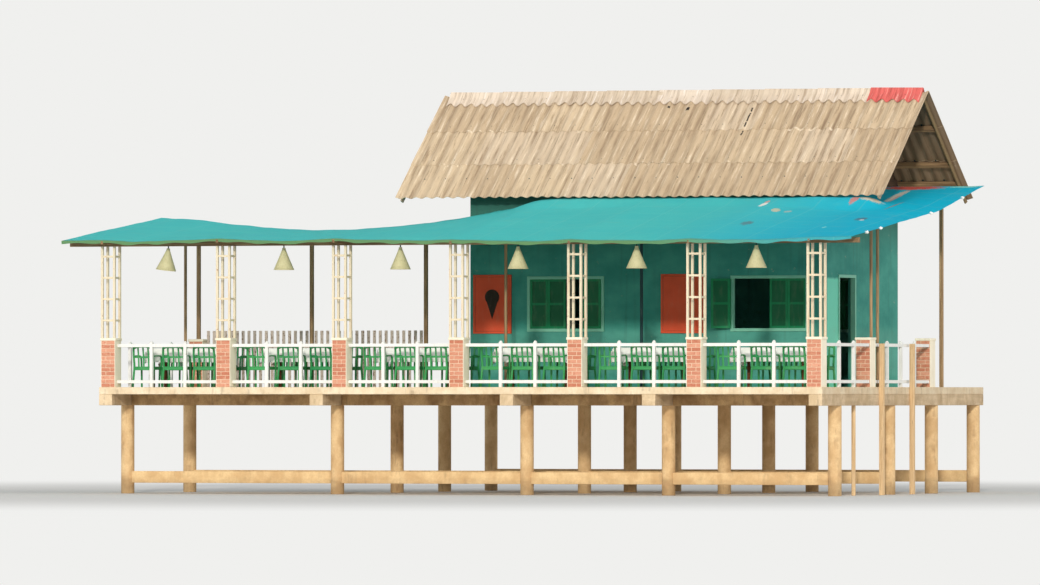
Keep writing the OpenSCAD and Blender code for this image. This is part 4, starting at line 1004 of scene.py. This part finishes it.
# %% Both slopes
def slope_place(rear):
    """Turns a flat course plan (X along the eave, Y up the slope) into its place on the roof."""
    tilt = Matrix.Rotation(pitch_angle, 4, "X")
    if not rear:
        return Matrix.Translation((0, eave_low.y, eave_z)) @ tilt
    return Matrix.Translation((0, 2 * ridge_y - eave_low.y, eave_z)) @ Matrix.Rotation(math.pi, 4, "Z") @ tilt


bolt_line = [(0.017, -0.012), (0.019, 0.0), (0.014, 0.004), (0.008, 0.006), (0.007, 0.014), (0.0005, 0.016)]
one_bolt = turned("one_bolt", bolt_line, 10)
SHEET_SINK, BOLT_SINK, BOLT_ROWS = 0.031, 0.006, (0.588, 1.199, 2.307, 3.206)
for node, rear, seed in (("roof_front", False, 11), ("roof_rear", True, 29)):
    first = -eave_high.x if rear else eave_low.x
    sheets = row_of(node + "_sheets", one_sheet, fibre_cement, WAVES // STEP_WAVES, COURSES,
                    (first + STEP_WAVES / 2 * WAVE, SHEET_LENGTH / 2, -SHEET_SINK), (STEP_WAVES * WAVE, 0, 0),
                    (0, COURSE, 0),
                    turn=(0.0015, 0.0008, 0.006), slip=(0.006, 0.014, 0.002), seed=seed)
    sheets.data.transform(slope_place(rear))
    put(sheets, "fibre_cement", node)
    report(sheets)
    for k, up in enumerate(BOLT_ROWS):
        bolts = row_of(f"{node}_bolts_{k + 1}", one_bolt, dark_steel, WAVES // 2, 1,
                       (first + 1.5 * WAVE, up, -BOLT_SINK), (2 * WAVE, 0, 0), slip=(0.004, 0.01, 0), seed=seed + k)
        bolts.data.transform(slope_place(rear))
        put(bolts, "dark_steel")
    report(bolts)
gone(one_sheet, one_bolt)

# %% [markdown]
# ## Ridge caps
# A ridge cap is a bent fibre-cement piece with a roll along the top and two wings that are moulded to the
# sheets' waves. The cap is a grid over (along, across): the roll is a bump in the middle, and the wave fades in
# towards the wings' scalloped edges. Each cap starts half a wave in, in step with the sheets, and falls a little
# towards its end, where the next one lies over it. Eight are chalky white with age; the last, at the right, is red.


# %% Ridge caps
CAP_LAP, CAP_FALL, WING, SCALLOP, ROLL = 0.09, 0.013, 0.262, 0.02, 0.048


def ridge_cap(name, waves):
    """One cap so many waves long, from x = 0, over the ridge at y = 0, z = 0; its lap lies before x = 0."""
    work = bmesh.new()
    length = waves * WAVE + CAP_LAP
    across, along = 22, max(4, int(length / WAVE * 8))
    grid = []
    for i in range(along + 1):
        x = length * i / along - CAP_LAP
        wave = math.cos(2 * math.pi * x / WAVE)
        line = []
        for j in range(across + 1):
            t = 2 * j / across - 1
            reach = t * (WING - SCALLOP * wave)
            far = max(0.0, (abs(t) - 0.3) / 0.7)
            roll = ROLL * math.exp(-((t / 0.2) ** 2))
            z = -abs(reach) * math.tan(pitch_angle) * (1 - 0.12 * math.exp(-((t / 0.12) ** 2))) + roll
            z += 0.018 * wave * far + 0.006 - CAP_FALL * (i / along)
            line.append(work.verts.new((x, reach, z)))
        grid.append(line)
    for a, b in zip(grid, grid[1:]):
        for j in range(across):
            work.faces.new((a[j], b[j], b[j + 1], a[j + 1]))
    cap = shape_of(name, work)
    if cap.data.polygons[0].normal.z < 0:
        cap.data.flip_normals()
    return thickened(cap, 0.007)


pale_cap = ridge_cap("pale_cap", 5)
caps = row_of("pale_ridge_caps", pale_cap, ridge_cement, 8, 1, (eave_low.x + WAVE / 2, ridge_y, ridge_line - 0.005),
              (5 * WAVE, 0, 0), turn=(0.006, 0.001, 0.004), slip=(0.004, 0.005, 0.0008), seed=5)
red_cap = ridge_cap("red_cap", 4.5)
red_caps = row_of("red_ridge_cap", red_cap, red_cement, 1, 1,
                  (eave_high.x - 4.5 * WAVE, ridge_y, ridge_line - 0.003), turn=(0.004, 0.001, 0.003), seed=8)
gone(pale_cap, red_cap)
for piece, slot, node in ((caps, "fibre_cement", "ridge_caps"), (red_caps, "red_cap", "red_ridge_caps")):
    smooth(piece.data)
    put(piece, slot, node)
    report(piece)

# %% [markdown]
# ## Brick piers
# The CAD piers are plain blocks. Real ones are laid: twelve courses, each with a whole and a half brick that
# change places from course to course, so that no joints line up. The rows tree does this with its shift for
# odd rows. Behind the bricks stands a block of mortar, and the two side faces carry a coat of plaster.

# %% Brick piers
brick_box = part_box("brick_piers")
pier_low, pier_high = brick_box[0].z, brick_box[1].z
PIERS, BRICK_COURSES, PIER, BAY = 7, 12, 0.30, 2.44
BRICK_COURSE = (pier_high - pier_low) / BRICK_COURSES
JOINT, WHOLE, HALF, ODD_SHIFT = 0.011, 0.178, 0.087, 0.1
whole_brick = box_shape("whole_brick", (0, 0, 0), (WHOLE, PIER, BRICK_COURSE - JOINT), 0.005)
half_brick = box_shape("half_brick", (0, 0, 0), (HALF, PIER, BRICK_COURSE - JOINT), 0.005)
left_x = brick_box[0].x
other_piers = [(7.17, 2.75), (7.17, 6.21), (-7.47, 4.30)]
half_x = JOINT + WHOLE + JOINT
for name, shape, x, odd in (("whole_bricks", whole_brick, JOINT, ODD_SHIFT),
                            ("half_bricks", half_brick, half_x, JOINT - half_x)):
    for k, (px, py, along) in enumerate([(left_x, 0.0, PIERS)] + [(a, b, 1) for a, b in other_piers]):
        laid = row_of(f"{name}_{k + 1}", shape, painted_brick, along, BRICK_COURSES,
                      (px + x, front + py, pier_low + 0.006), (BAY, 0, 0), (0, 0, BRICK_COURSE), (odd, 0, 0),
                      turn=(0.006, 0.004, 0.004), slip=(0.0015, 0.002, 0.001), seed=40 + k * 7)
        smooth(laid.data)
        put(laid, "brick", "brick_piers")
gone(whole_brick, half_brick)
work, plaster_work, PLASTER = bmesh.new(), bmesh.new(), 0.011
for px, py in [(left_x + i * BAY, 0.0) for i in range(PIERS)] + other_piers:
    y = front + py
    block(work, (px + 0.008, y + 0.006, pier_low), (px + PIER - 0.008, y + PIER - 0.006, pier_high), ease=0.0)
    for x in (px, px + PIER - PLASTER):
        block(plaster_work, (x, y, pier_low), (x + PLASTER, y + PIER, pier_high), ease=0.003)
put(shape_of("pier_mortar", work, mortar), "brick")
put(shape_of("pier_plaster", plaster_work, lime_plaster), "plaster")
print(PIERS + len(other_piers), "piers of", round(BRICK_COURSE, 3), "m courses")

# %% [markdown]
# ## The canopy
# The canopy is one sheet of woven plastic, drawn over seven rafters, that runs on past the house at its right
# end. It is built as a fine grid. Rays sent down onto the CAD sheet give each point's height, so the cloth
# keeps the rafters' line and the sag between them; folds and pulls are added on top, strongest where the sheet
# hangs free, and the front edge ends in a doubled hem that hangs down. A UV map in metres is kept for the weave.

# %% The canopy
sheet_low, sheet_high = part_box("canopy_sheet")
wing_low, wing_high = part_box("canopy_wing")
sheets = [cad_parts[node].data for node in ("canopy_sheet", "canopy_wing")]
under_rays = [BVHTree.FromPolygons([v.co for v in m.vertices], [p.vertices for p in m.polygons]) for m in sheets]
EAVE_GAP, MOST_LIFT, CLOTH_SINK, HEM_DEPTH, HEM_LENGTH = 0.062, 0.19, 0.004, 0.16, 0.35
STEP, ROWS, WING_ROWS = 0.0779, 60, 34


def canopy_height(x, y):
    """Height of the CAD canopy's upper face above a point of the plan."""
    x = min(max(x, sheet_low.x + 0.002), sheet_high.x - 0.002)
    for inward in (0.0, 0.003, -0.003):
        for tree in under_rays:
            hit = tree.ray_cast(Vector((x, y + inward, 20)), Vector((0, 0, -1)))[0]
            if hit:
                return hit.z
    return None


def fold(x, y):
    """How far the cloth rises or falls from the CAD sheet: pulls from the rafters, long folds and small creases."""
    last = 3 * BAY
    free = math.sin(math.pi * ((x + last) / BAY % 1.0)) if abs(x) < last else min(1.0, (abs(x) - last) / 0.5)
    long_folds = noise.noise(Vector((x * 0.9, y * 0.35, 2.7))) * 0.022
    pulls = noise.noise(Vector((x * 2.6, y * 0.8, 8.1))) * 0.012
    small = noise.noise(Vector((x * 6.0, y * 3.0, 4.4))) * 0.005
    return (long_folds + pulls) * free + small * (0.3 + 0.7 * free)


def ramp(value, low, high):
    """0 below low and 1 above high, with a soft step between."""
    t = min(1.0, max(0.0, (value - low) / (high - low)))
    return t * t * (3 - 2 * t)


def drawn_up(x, y):
    """Under the roof's eave the cloth is drawn up against the sheets: most at the eave, nothing 0.8 m away."""
    share = ramp(x, -0.7, 0.4) * (1 - ramp(x, 6.8, 7.3)) * ramp(abs(y - eave_low.y), 0.8, 0.0)
    gap = eave_z - EAVE_GAP - canopy_height(x, eave_low.y) if share else 0.0
    return min(max(gap, 0.0), MOST_LIFT) * share


columns = int(round((sheet_high.x - sheet_low.x) / STEP))
xs = [sheet_low.x + (sheet_high.x - sheet_low.x) * k / columns for k in range(columns + 1)]
ys = [sheet_low.y + (sheet_high.y - sheet_low.y) * k / ROWS for k in range(ROWS + 1)]
ys += [wing_low.y + (wing_high.y - wing_low.y) * k / WING_ROWS for k in range(1, WING_ROWS + 1)]
work = bmesh.new()
hem_mark = work.verts.layers.float.new("hem")
metres = work.loops.layers.uv.new("metres")
plan = {}
for a, x in enumerate(xs):
    for b, y in enumerate(ys):
        if y > sheet_high.y + 0.001 and x < wing_low.x - 0.001:
            continue
        height = canopy_height(x, y)
        if height is None:
            continue
        v = work.verts.new((x, y, height - CLOTH_SINK + fold(x, y) + drawn_up(x, y)))
        v[hem_mark] = max(0.0, 1 - (y - sheet_low.y) / HEM_DEPTH)
        plan[a, b] = (v, x, y)
    edge = plan[a, 0][0].co
    for b, drop in ((-1, 0.022), (-2, 0.05)):
        sway = noise.noise(Vector((x * 3.1, 0.0, 5.0))) * 0.012
        v = work.verts.new((x, edge.y + sway * -b * 0.5 + 0.004, edge.z - drop * (1 + 0.25 * math.sin(x * 9.0))))
        v[hem_mark] = 1.0
        plan[a, b] = (v, x, sheet_low.y - drop)
for a in range(columns):
    for b in range(-2, len(ys) - 1):
        corners = [plan.get(k) for k in ((a, b), (a + 1, b), (a + 1, b + 1), (a, b + 1))]
        if None not in corners:
            face = work.faces.new([c[0] for c in corners])
            for loop, c in zip(face.loops, corners):
                loop[metres].uv = (c[1], c[2])
cloth_area = sum(f.calc_area() for f in work.faces)
canopy = built("canopy", work)
mesh = canopy.data
mesh.materials.append(woven_tarp)
if mesh.polygons[len(mesh.polygons) // 2].normal.z < 0:
    mesh.flip_normals()
thickened(canopy, 0.003)
smooth(canopy.data, 60)
put(canopy, "canopy", "canopy_sheet", "canopy_wing")
report(canopy)
print("the sheet's area is", round(cloth_area, 1), "square metres")

# %% [markdown]
# ## Knots
# Along its right edge the sheet is tied to the poles with strips of white cloth. From the river each is a small
# white lump, so each is made as a ball that is wrung by two sine waves, one round it and one along it.

# %% Knots
work = bmesh.new()
KNOT_SIZE, KNOT_X, KNOT_YS = 0.034, sheet_high.x - 0.012, (-4.02, -3.24, -0.34, 1.5)
for k, y in enumerate(KNOT_YS):
    ball = bmesh.ops.create_icosphere(work, subdivisions=3, radius=KNOT_SIZE)["verts"]
    middle = Vector((KNOT_X, y, (canopy_height(KNOT_X, y) or wing_high.z) - 0.01))
    for v in ball:
        turn = math.atan2(v.co.y, v.co.z)
        wrung = 1 + 0.26 * math.sin(3 * turn + v.co.x * 90 + k) + 0.2 * math.sin(v.co.x * 180 + k * 2)
        v.co = middle + Vector((v.co.x * 1.1, v.co.y * wrung * 1.5, v.co.z * wrung * 0.75))
knots = put(shape_of("canopy_knots", work, white_cotton), "cloth")
report(knots)

# %% [markdown]
# ## Tablecloths
# A cotton cloth falls from a table's edges in folds, and its corners hang lowest. Blender's cloth simulation
# finds that shape: a flat cloth is dropped on a stand-in for the table top. It runs once, and the result is
# turned round and mirrored for the six tables, so that neighbours differ.


# %% Tablecloths
def dropped_cloth(size, table, steps):
    """A cloth on a table top, both centred on the origin at the top's height. No steps: it is only folded down."""
    nx, ny = 58, 41
    work = bmesh.new()
    metres = work.loops.layers.uv.new("metres")
    grid = [[work.verts.new((size[0] * (i / nx - 0.5), size[1] * (j / ny - 0.5), 0.012)) for j in range(ny + 1)]
            for i in range(nx + 1)]
    for i in range(nx):
        for j in range(ny):
            ring = ((i, j), (i + 1, j), (i + 1, j + 1), (i, j + 1))
            face = work.faces.new([grid[a][b] for a, b in ring])
            for loop, (a, b) in zip(face.loops, ring):
                loop[metres].uv = (size[0] * a / nx, size[1] * b / ny)
    cloth = built("one_cloth", work)
    half = [side / 2 for side in table]
    if not steps:
        for v in cloth.data.vertices:
            for axis in (0, 1):
                past = abs(v.co[axis]) - half[axis]
                if past > 0:
                    v.co[axis] = math.copysign(half[axis] + 0.012 + past * 0.06, v.co[axis])
                    v.co.z -= past * 0.98
        return cloth
    stand_in = box_shape("table_top", (-half[0], -half[1], -0.05), (half[0], half[1], 0.0), 0.01)
    stand_in.modifiers.new("collision", "COLLISION")
    stand_in.collision.thickness_outer, stand_in.collision.cloth_friction = 0.004, 12.0
    fall = cloth.modifiers.new("fall", "CLOTH")
    fall.settings.quality, fall.settings.mass, fall.settings.air_damping = 6, 0.25, 2.0
    fall.settings.tension_stiffness = fall.settings.compression_stiffness = 25
    fall.settings.shear_stiffness, fall.settings.bending_stiffness = 10, 0.35
    fall.collision_settings.distance_min = 0.004
    fall.point_cache.frame_start, fall.point_cache.frame_end = 1, steps
    for step in range(1, steps + 1):
        scene.frame_set(step)
    plain_mesh(cloth)
    scene.frame_set(1)
    gone(stand_in)
    return cloth


table_low, table_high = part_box("tables")
TABLE = (table_high.x - table_low.x - 5 * BAY, table_high.y - table_low.y)
HANG, FALL_STEPS = 0.27, 70
CLOTH = (TABLE[0] + 2 * HANG, TABLE[1] + 2 * HANG)
one_cloth = dropped_cloth(CLOTH, TABLE, FALL_STEPS)
low = min(v.co.z for v in one_cloth.data.vertices)
print("the cloth's lowest corner hangs", round(-low, 3), "m below the table top")
middle_y = (table_low.y + table_high.y) / 2
for k in range(6):
    cloth = added(f"tablecloth_{k + 1}", one_cloth.data.copy())
    mirrored = k in (1, 2, 5)
    turn = Matrix.Rotation(math.pi * (k % 2), 4, "Z") @ Matrix.Scale(-1 if mirrored else 1, 4, (1, 0, 0))
    place = Matrix.Translation(((k - 2.5) * BAY, middle_y, table_high.z + 0.001))
    cloth.data.transform(place @ turn)
    if mirrored:
        cloth.data.flip_normals()
    cloth.data.materials.clear()
    cloth.data.materials.append(white_cotton)
    thickened(cloth, 0.0016)
    smooth(cloth.data, 80)
    put(cloth, "cloth", *(["tablecloths"] if k == 0 else []))
report(cloth)
gone(one_cloth)

# %% [markdown]
# ## Chairs
# The chairs are moulded plastic armchairs: splayed legs, a dished seat and a slatted back with a curved top.
# One chair is written as bars along bent lines, and the rows tree sets 36 of them, none pushed in quite alike.


# %% Chairs
def armchair(name):
    """An armchair that faces +Y, with its back on y = 0 and its feet at z = 0."""
    work = bmesh.new()
    for s in (-1, 1):
        rear_leg = [(s * 0.218, 0.016, 0), (s * 0.213, 0.05, 0.25), (s * 0.21, 0.072, 0.41), (s * 0.212, 0.046, 0.6),
                    (s * 0.205, 0.022, 0.765)]
        front_leg_and_arm = [(s * 0.219, 0.415, 0), (s * 0.216, 0.402, 0.28), (s * 0.217, 0.396, 0.47),
                             (s * 0.22, 0.384, 0.575), (s * 0.221, 0.34, 0.606), (s * 0.221, 0.18, 0.61),
                             (s * 0.214, 0.056, 0.596)]
        bar(work, bend(rear_leg), 0.04, 0.034)
        bar(work, bend(front_leg_and_arm), 0.038, 0.026)
        bar(work, bend([(s * 0.212, 0.07, 0.362), (s * 0.216, 0.39, 0.362)], 1), 0.016, 0.05)
    top_rail = [(-0.212, 0.022, 0.757), (-0.12, 0.012, 0.79), (0, 0.008, 0.799), (0.12, 0.012, 0.79),
                (0.212, 0.022, 0.757)]
    bar(work, bend(top_rail), 0.055, 0.02, side=(0, 0, 1))
    for half, z, y_end, y_middle, wide, deep in (
            (0.21, 0.585, 0.062, 0.05, 0.034, 0.014), (0.21, 0.36, 0.07, 0.06, 0.06, 0.016),
            (0.212, 0.362, 0.398, 0.408, 0.05, 0.014)):
        bar(work, bend([(-half, y_end, z), (0, y_middle, z), (half, y_end, z)]), wide, deep, side=(0, 0, 1))
    for k in range(3):
        x = -0.108 + 0.108 * k
        bar(work, bend([(x, 0.062, 0.39), (x * 1.01, 0.05, 0.58), (x, 0.018, 0.782)], 3), 0.034, 0.012)
    rows_of_seat = []
    for i in range(9):
        u = i / 8
        line = []
        for j in range(9):
            w = j / 8 * 2 - 1
            z = 0.402 - 0.02 * math.sin(math.pi * u) * (1 - w * w) - (0.026 * max(0.0, u - 0.86) / 0.14)
            line.append(Vector((w * (0.212 + 0.006 * u), 0.06 + 0.36 * u, z)))
        rows_of_seat.append(line)
    ring_strip(work, [line + [p - Vector((0, 0, 0.01)) for p in reversed(line)] for line in rows_of_seat])
    return shape_of(name, work)


facing_in = armchair("one_chair")
facing_out = added("turned_chair", facing_in.data.copy())
facing_out.data.transform(Matrix.Rotation(math.pi, 4, "Z"))
chair_low, chair_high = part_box("chairs")
SEAT = 0.65
for name, shape, y, seed in (("front_chairs", facing_in, chair_low.y, 3),
                             ("rear_chairs", facing_out, chair_high.y, 17)):
    seats = row_of(name, shape, green_plastic, 6, 3, (-2.5 * BAY - SEAT, y, deck), (BAY, 0, 0), (SEAT, 0, 0),
                   turn=(0, 0, 0.07), slip=(0.02, 0.015, 0), seed=seed)
    smooth(seats.data)
    put(seats, "green_plastic", *(["chairs"] if name == "front_chairs" else []))
    report(seats)
gone(facing_in, facing_out)

# %% [markdown]
# ## Lamps
# Each lamp is a spun enamel cone with a rolled rim, a collar and a bulb in its mouth. A turned profile gives
# the cone its thickness. They hang from the front beam on short stems, and the first one hangs askew.

# %% Lamps
shade_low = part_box("lamp_shades")[0]
SHADE_HEIGHT, LAMP_Y = 0.43, front + 0.15
outside = [(0.197, 0.0), (0.2, 0.004), (0.2, 0.01), (0.195, 0.014), (0.165, 0.085), (0.128, 0.17), (0.092, 0.255),
           (0.058, 0.34), (0.036, 0.395), (0.033, 0.405), (0.033, 0.426), (0.026, 0.43), (0.012, 0.43)]
inside = [(0.012, 0.424), (0.026, 0.42), (0.03, 0.395), (0.054, 0.336), (0.088, 0.251), (0.124, 0.166),
          (0.161, 0.081), (0.19, 0.012), (0.192, 0.003)]
one_shade = turned("one_shade", outside + inside, 40, closed=True)
bulb_line = [(0.001, 0.058), (0.014, 0.062), (0.026, 0.08), (0.03, 0.1), (0.026, 0.122), (0.015, 0.142), (0.013, 0.15)]
one_bulb = turned("one_bulb", bulb_line, 20)
holder_line = [(0.017, 0.146), (0.018, 0.19), (0.014, 0.2), (0.006, 0.21), (0.006, 0.432)]
one_holder = turned("one_holder", holder_line, 16)
glass = Finish("frosted_glass", **{"Specular IOR Level": 0.5})
frost = glass.clouds(0.02, 3)
frosted_glass = glass.feed(glass.mix(frost, paint(240, 236, 220), paint(250, 248, 240)), 0.3 + frost * 0.1,
                           relief=frost, depth=0.0002)
for name, shape, finish, nodes in (("shades", one_shade, lamp_enamel, ["lamp_shades"]),
                                   ("bulbs", one_bulb, frosted_glass, []), ("holders", one_holder, dark_steel, [])):
    askew = added("lamp_1_" + name, shape.data.copy())
    lean = Matrix.Rotation(math.radians(7), 4, "Y") @ Matrix.Translation((0, 0, -SHADE_HEIGHT))
    askew.data.transform(Matrix.Translation((-2.5 * BAY, LAMP_Y, shade_low.z + SHADE_HEIGHT)) @ lean)
    askew.data.materials.clear()
    askew.data.materials.append(finish)
    row_piece = row_of("lamp_" + name, shape, finish, 5, 1, (-1.5 * BAY, LAMP_Y, shade_low.z), (BAY, 0, 0),
                       turn=(0, 0, 3.0), seed=4)
    for piece in (askew, row_piece):
        smooth(piece.data, 50)
        put(piece, "lamp", *(nodes if piece is row_piece else []))
    report(row_piece)
gone(one_shade, one_bulb, one_holder)

# %% [markdown]
# ## Gable boards
# Both gables are closed by horizontal boards whose ends are sawn square, so they step up under the slope. That
# is a rule: board number k is shorter than the one below. A small tree scales one board along a line and turns
# each a little. Their dark brown is partly painted shade under the verge. Behind them stays the CAD gable,
# painted near black as shade, seen in the notches.

# %% Gable boards
stepped = Pattern("stepped_boards", Object="Shape", Int="Boards, Seed", Vector="Start, Turn",
                  Float="Board Height, Base Length, Shortening", Material="Finish")
number = stepped.node("GeometryNodeInputIndex")
up = stepped.node("ShaderNodeCombineXYZ", {"Z": number * stepped["Board Height"]})
length = stepped["Base Length"] - number * stepped["Shortening"]
stepped.lay(stepped["Boards"], stepped.vector("ADD", stepped["Start"], up), stepped["Seed"],
            scale=stepped.node("ShaderNodeCombineXYZ", {"X": 1.0, "Y": length, "Z": 1.0}))

gable_low, gable_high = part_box("gable_boards")
BOARD, BOARDS, SLOPE = 0.146, 11, math.tan(pitch_angle)
one_board = box_shape("one_board", (0, -0.5, 0), (0.016, 0.5, BOARD + 0.012), 0.003)
for name, x, turn in (("right_gable_boards", gable_high.x, 0.012), ("left_gable_boards", gable_low.x - 0.018, -0.012)):
    made = stepped.make(name, {
        "Shape": one_board, "Boards": BOARDS, "Start": (x, ridge_y, gable_low.z + 0.02), "Board Height": BOARD,
        "Base Length": 2 * (gable_high.z - gable_low.z - BOARD) / SLOPE, "Shortening": 2 * BOARD / SLOPE,
        "Turn": (0.006, turn, 0.002), "Seed": 6, "Finish": gable_timber})
    put(made, "gable_boards")
    report(made)
gone(one_board)
